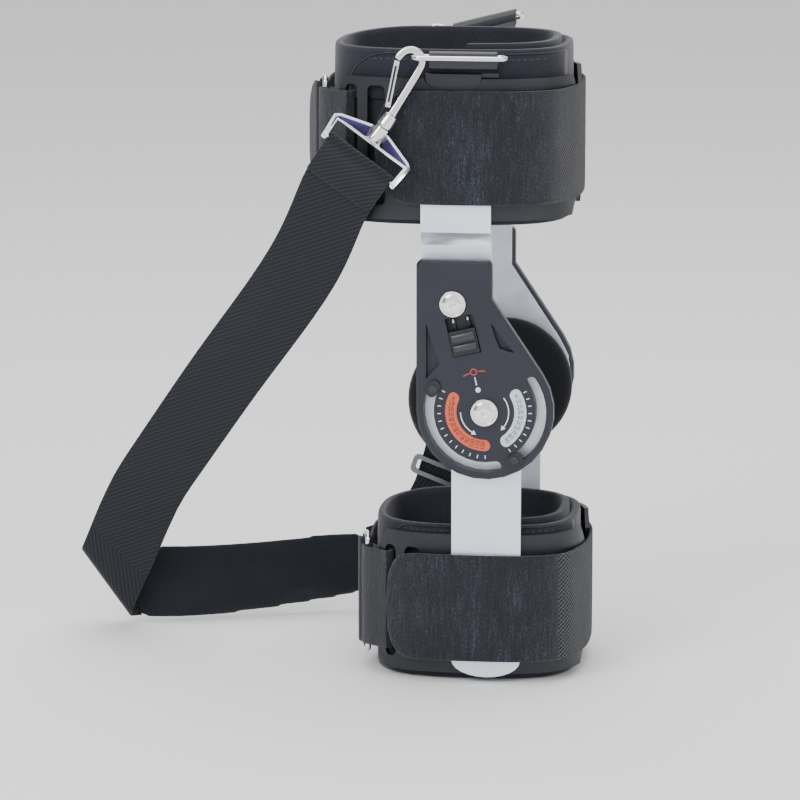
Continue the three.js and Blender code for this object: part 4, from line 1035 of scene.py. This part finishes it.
# How far its sewn ends are drawn out, and how far from the ends that fades away
SEWN_PULL = 2.4 * MM
SEWN_REACH = 14 * MM

# Edge stitching on each liner: how far below its top, and where it starts and ends along X, in mm
EDGE_STITCHES = {"thigh": (7.6, 26, 116), "calf": (5.5, 47, 122)}
STITCH_SIZE = (2.0, 0.5, 0.36)
STITCH_PITCH = 3.1
# Outer flap of each liner on the lateral side: where it starts and ends along X, its foot and how far
# its edge lies below the liner's top, with the length over which its front corner is rounded, in mm
FLAPS = {
    "thigh": {"start": 19, "end": 124.6, "foot": 296, "below": 5.2, "corner": 20},
    "calf": {"start": 41, "end": 130, "foot": 68, "below": 3.9, "corner": 9},
}
FLAP_STEPS, FLAP_ROWS = 68, 9
FLAP_LIFT = 0.25 * MM
FLAP_WALL = 0.9 * MM
# Share of a flap's height that its front corner takes away
FLAP_FALL = 0.75
PIPING_RADIUS = 0.75 * MM
# Rays that find the cloth start this far from the brace's middle, in metres
RAY_REACH = 0.2


def blow_up(obj, low, high):
    """Runs the pressure as cloth, and keeps what it gives within its limits."""
    modifier = obj.modifiers.new("cloth", "CLOTH")
    cloth = modifier.settings
    cloth.quality = 4
    cloth.mass = 0.3
    cloth.tension_stiffness = 25
    cloth.compression_stiffness = 25
    cloth.bending_stiffness = 1.5
    cloth.use_pressure = True
    cloth.uniform_pressure_force = PUFF_PRESSURE
    cloth.effector_weights.gravity = 0
    modifier.collision_settings.use_collision = False
    modifier.point_cache.frame_start = 1
    modifier.point_cache.frame_end = PUFF_FRAMES
    before = [vertex.co.copy() for vertex in obj.data.vertices]
    for step in range(1, PUFF_FRAMES + 1):
        scene.frame_set(step)
    select_only(obj)
    bpy.ops.object.modifier_apply(modifier="cloth")
    scene.frame_set(1)
    for vertex, start in zip(obj.data.vertices, before):
        move = vertex.co - start
        if move.length > PUFF_LIMIT:
            vertex.co = start + move.normalized() * PUFF_LIMIT
        for axis in range(3):
            vertex.co[axis] = min(max(vertex.co[axis], low[axis] - PUFF_SPARE), high[axis] + PUFF_SPARE)


def sew_ends(pad):
    """Draws both ends of the padded section out to the webbing that they are sewn to."""
    low, high = (corner.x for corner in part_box("shoulder_padded_section"))
    for vertex in pad.data.vertices:
        near_start = max(0, 1 - (vertex.co.x - low) / SEWN_REACH)
        near_end = max(0, 1 - (high - vertex.co.x) / SEWN_REACH)
        vertex.co.x += SEWN_PULL * (near_end - near_start)


def build_padded_section():
    """The shoulder strap's padded section, evened out, blown up as cloth and sewn to the webbing."""
    node = "shoulder_padded_section"
    pad = copy_of(node)
    modify(pad, "REMESH", mode="VOXEL", voxel_size=PUFF_CELL)
    modify(pad, "SMOOTH", factor=0.5, iterations=6)
    blow_up(pad, *mesh_box(pad))
    subdivided(pad, 1)
    shade_smooth(pad)
    sew_ends(pad)
    finish_piece(pad, body_of(node), "padded_cloth")


def build_edge_stitches(cuff, liner, flap):
    """A row of stitches round each side of the liner, through its flap where it has one."""
    below, start, end = EDGE_STITCHES[cuff]
    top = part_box(f"{cuff}_liner")[1].z - below * MM
    stitch = primitive("uv_sphere", "stitch", segments=10, ring_count=6, radius=0.5)
    stitch.data.transform(Matrix.Diagonal((*(length * MM for length in STITCH_SIZE), 1)))
    row = []
    for facing in (-1, 1):
        cloth = flap if facing == FACING["lateral"] else liner
        x = start
        while x < end:
            outside = Vector((x * MM, MIDDLE_Y + facing * RAY_REACH, top))
            hit, spot, normal, _ = cloth.ray_cast(outside, Vector((0, -facing, 0)))
            x += STITCH_PITCH
            if not hit:
                continue
            along = Vector((0, 0, 1)).cross(normal).normalized()
            turn = Matrix((along, normal.cross(along), normal)).transposed().to_4x4()
            copy = copy_mesh(stitch)
            copy.data.transform(Matrix.Translation(spot) @ turn)
            row.append(copy)
    bpy.data.objects.remove(stitch)
    stitches = joined(f"{cuff}_liner_stitches", row)
    shade_smooth(stitches)
    finish_piece(stitches, body_of(f"{cuff}_liner"), "thread")


def flap_columns(cuff, liner):
    """Upright rows of points on the liner's lateral face, from the flap's foot to its edge."""
    sizes = FLAPS[cuff]
    start, end, foot = sizes["start"], sizes["end"], sizes["foot"]
    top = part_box(f"{cuff}_liner")[1].z / MM - sizes["below"]
    columns = []
    for i in range(FLAP_STEPS + 1):
        x = start + (end - start) * i / FLAP_STEPS
        ahead = min(1, (x - start) / sizes["corner"])
        crest = top - (1 - math.sqrt(1 - (1 - ahead) ** 2)) * (top - foot) * FLAP_FALL
        column = []
        for j in range(FLAP_ROWS + 1):
            z = foot + (crest - foot) * j / FLAP_ROWS
            outside = Vector((x * MM, MIDDLE_Y - RAY_REACH, z * MM))
            hit, spot, normal, _ = liner.ray_cast(outside, Vector((0, 1, 0)))
            column.append(spot + normal * FLAP_LIFT if hit else None)
        if None not in column:
            columns.append(column)
    return columns


def build_liner_flap(cuff, liner):
    """The liner's outer layer, which laps over it below its rolled edge and ends in a bound edge."""
    columns = flap_columns(cuff, liner)
    rows = FLAP_ROWS + 1
    faces = [
        (i * rows + j, (i + 1) * rows + j, (i + 1) * rows + j + 1, i * rows + j + 1)
        for i in range(len(columns) - 1)
        for j in range(FLAP_ROWS)
    ]
    flap = new_mesh(f"{cuff}_liner_flap", [spot for column in columns for spot in column], faces)
    modify(flap, "SOLIDIFY", thickness=FLAP_WALL, offset=1)
    shade_smooth(flap)
    finish_piece(flap, body_of(f"{cuff}_liner"), "foam")
    edge = [column[-1] + Vector((0, -FLAP_WALL / 2, 0)) for column in columns]
    binding = tube(f"{cuff}_flap_binding", edge, PIPING_RADIUS)
    finish_piece(binding, body_of(f"{cuff}_liner"), "binding")
    return flap


def build_sheet(node):
    wall, width, held, rests_on = SHEETS[node]
    material = "webbing" if "webbing" in node else "loop_cloth"
    strap = strap_piece(node, material, STRAP_EDGE * wall * MM)


def build_condyle_pad(side):
    """A round foam pad with a softly dished face, facing the knee."""
    node = f"{side}_condyle_pad"
    pad = copy_of(node)
    round_off(pad, 2.4 * MM, 5)
    subdivided(pad, 1)
    shade_smooth(pad)
    finish_piece(pad, body_of(node), "pad_foam")


def build_soft_pieces():
    for cuff in ("thigh", "calf"):
        liner = strap_piece(f"{cuff}_liner", "foam", LINER_EDGE * MM)
        build_edge_stitches(cuff, liner, build_liner_flap(cuff, liner))
    for node in SHEETS:
        build_sheet(node)
    build_padded_section()
    for side in SIDES:
        build_condyle_pad(side)


# Stage, light and camera
CAMERA_TARGET = Vector((0.0387, -0.01749, 0.13467))
CAMERA_PLACE = Vector((0.3150, -2.1593, 0.5545))
CAMERA_LENS, CAMERA_SENSOR = 192.5, 36
FLOOR_SIZE = 8
# Each lamp's place, size in metres and power
LAMPS = {
    "key_light": ((-0.9, -1.5, 1.3), 1.0, 22),
    "fill_light": ((1.4, -1.2, 0.8), 1.4, 12),
    "top_light": ((0.1, 0.3, 1.9), 1.6, 24),
}
LAMP_TARGET = Vector((0.03, -0.02, 0.15))
# How bright the studio is from its left wall to its right one
STUDIO_WALLS = [(0.0, 0.35), (0.16, 0.12), (0.3, 0.95), (0.66, 1.0), (0.8, 0.1), (0.9, 0.5), (1.0, 0.9)]
STUDIO_STRENGTH = 1.3


def build_stage():
    bpy.ops.mesh.primitive_plane_add(size=FLOOR_SIZE, location=(0, 0, 0))
    floor = bpy.context.active_object
    floor.name = "studio_floor"
    material, _ = new_material("studio_floor", (0.9, 0.9, 0.9), 0.9)
    floor.data.materials.append(material)


def aimed(obj, place, target):
    """Links an object into the scene, looking from its place to a target."""
    obj.location = place
    obj.rotation_euler = (target - Vector(place)).to_track_quat("-Z", "Y").to_euler()
    scene.collection.objects.link(obj)
    return obj


def build_world():
    world = bpy.data.worlds.new("studio")
    world.use_nodes = True
    background = world.node_tree.nodes["Background"]
    background.inputs["Strength"].default_value = STUDIO_STRENGTH
    place = add_node(world, "ShaderNodeTexCoord")
    split = add_node(world, "ShaderNodeSeparateXYZ")
    wire_up(world, (place.outputs["Generated"], split.inputs["Vector"]))
    # X goes from -1 to 1 across the studio, the ramp from 0 to 1
    spread = blend(world, (split.outputs["X"], 0.5))
    spread = sums(world, "ADD", spread, 0.5)
    walls = ramp(world, spread, *((position, (grey, grey, grey)) for position, grey in STUDIO_WALLS))
    wire_up(world, (walls, background.inputs["Color"]))
    scene.world = world


def build_light_and_camera():
    for name, (place, size, power) in LAMPS.items():
        lamp = bpy.data.lights.new(name, "AREA")
        lamp.shape = "SQUARE"
        lamp.size = size
        lamp.energy = power
        aimed(bpy.data.objects.new(name, lamp), place, LAMP_TARGET)
    build_world()
    camera = bpy.data.cameras.new("camera")
    camera.lens = CAMERA_LENS
    camera.sensor_width = CAMERA_SENSOR
    scene.camera = aimed(bpy.data.objects.new("camera", camera), CAMERA_PLACE, CAMERA_TARGET)


build_light_and_camera()
build_stage()
build_hard_pieces()
build_soft_pieces()
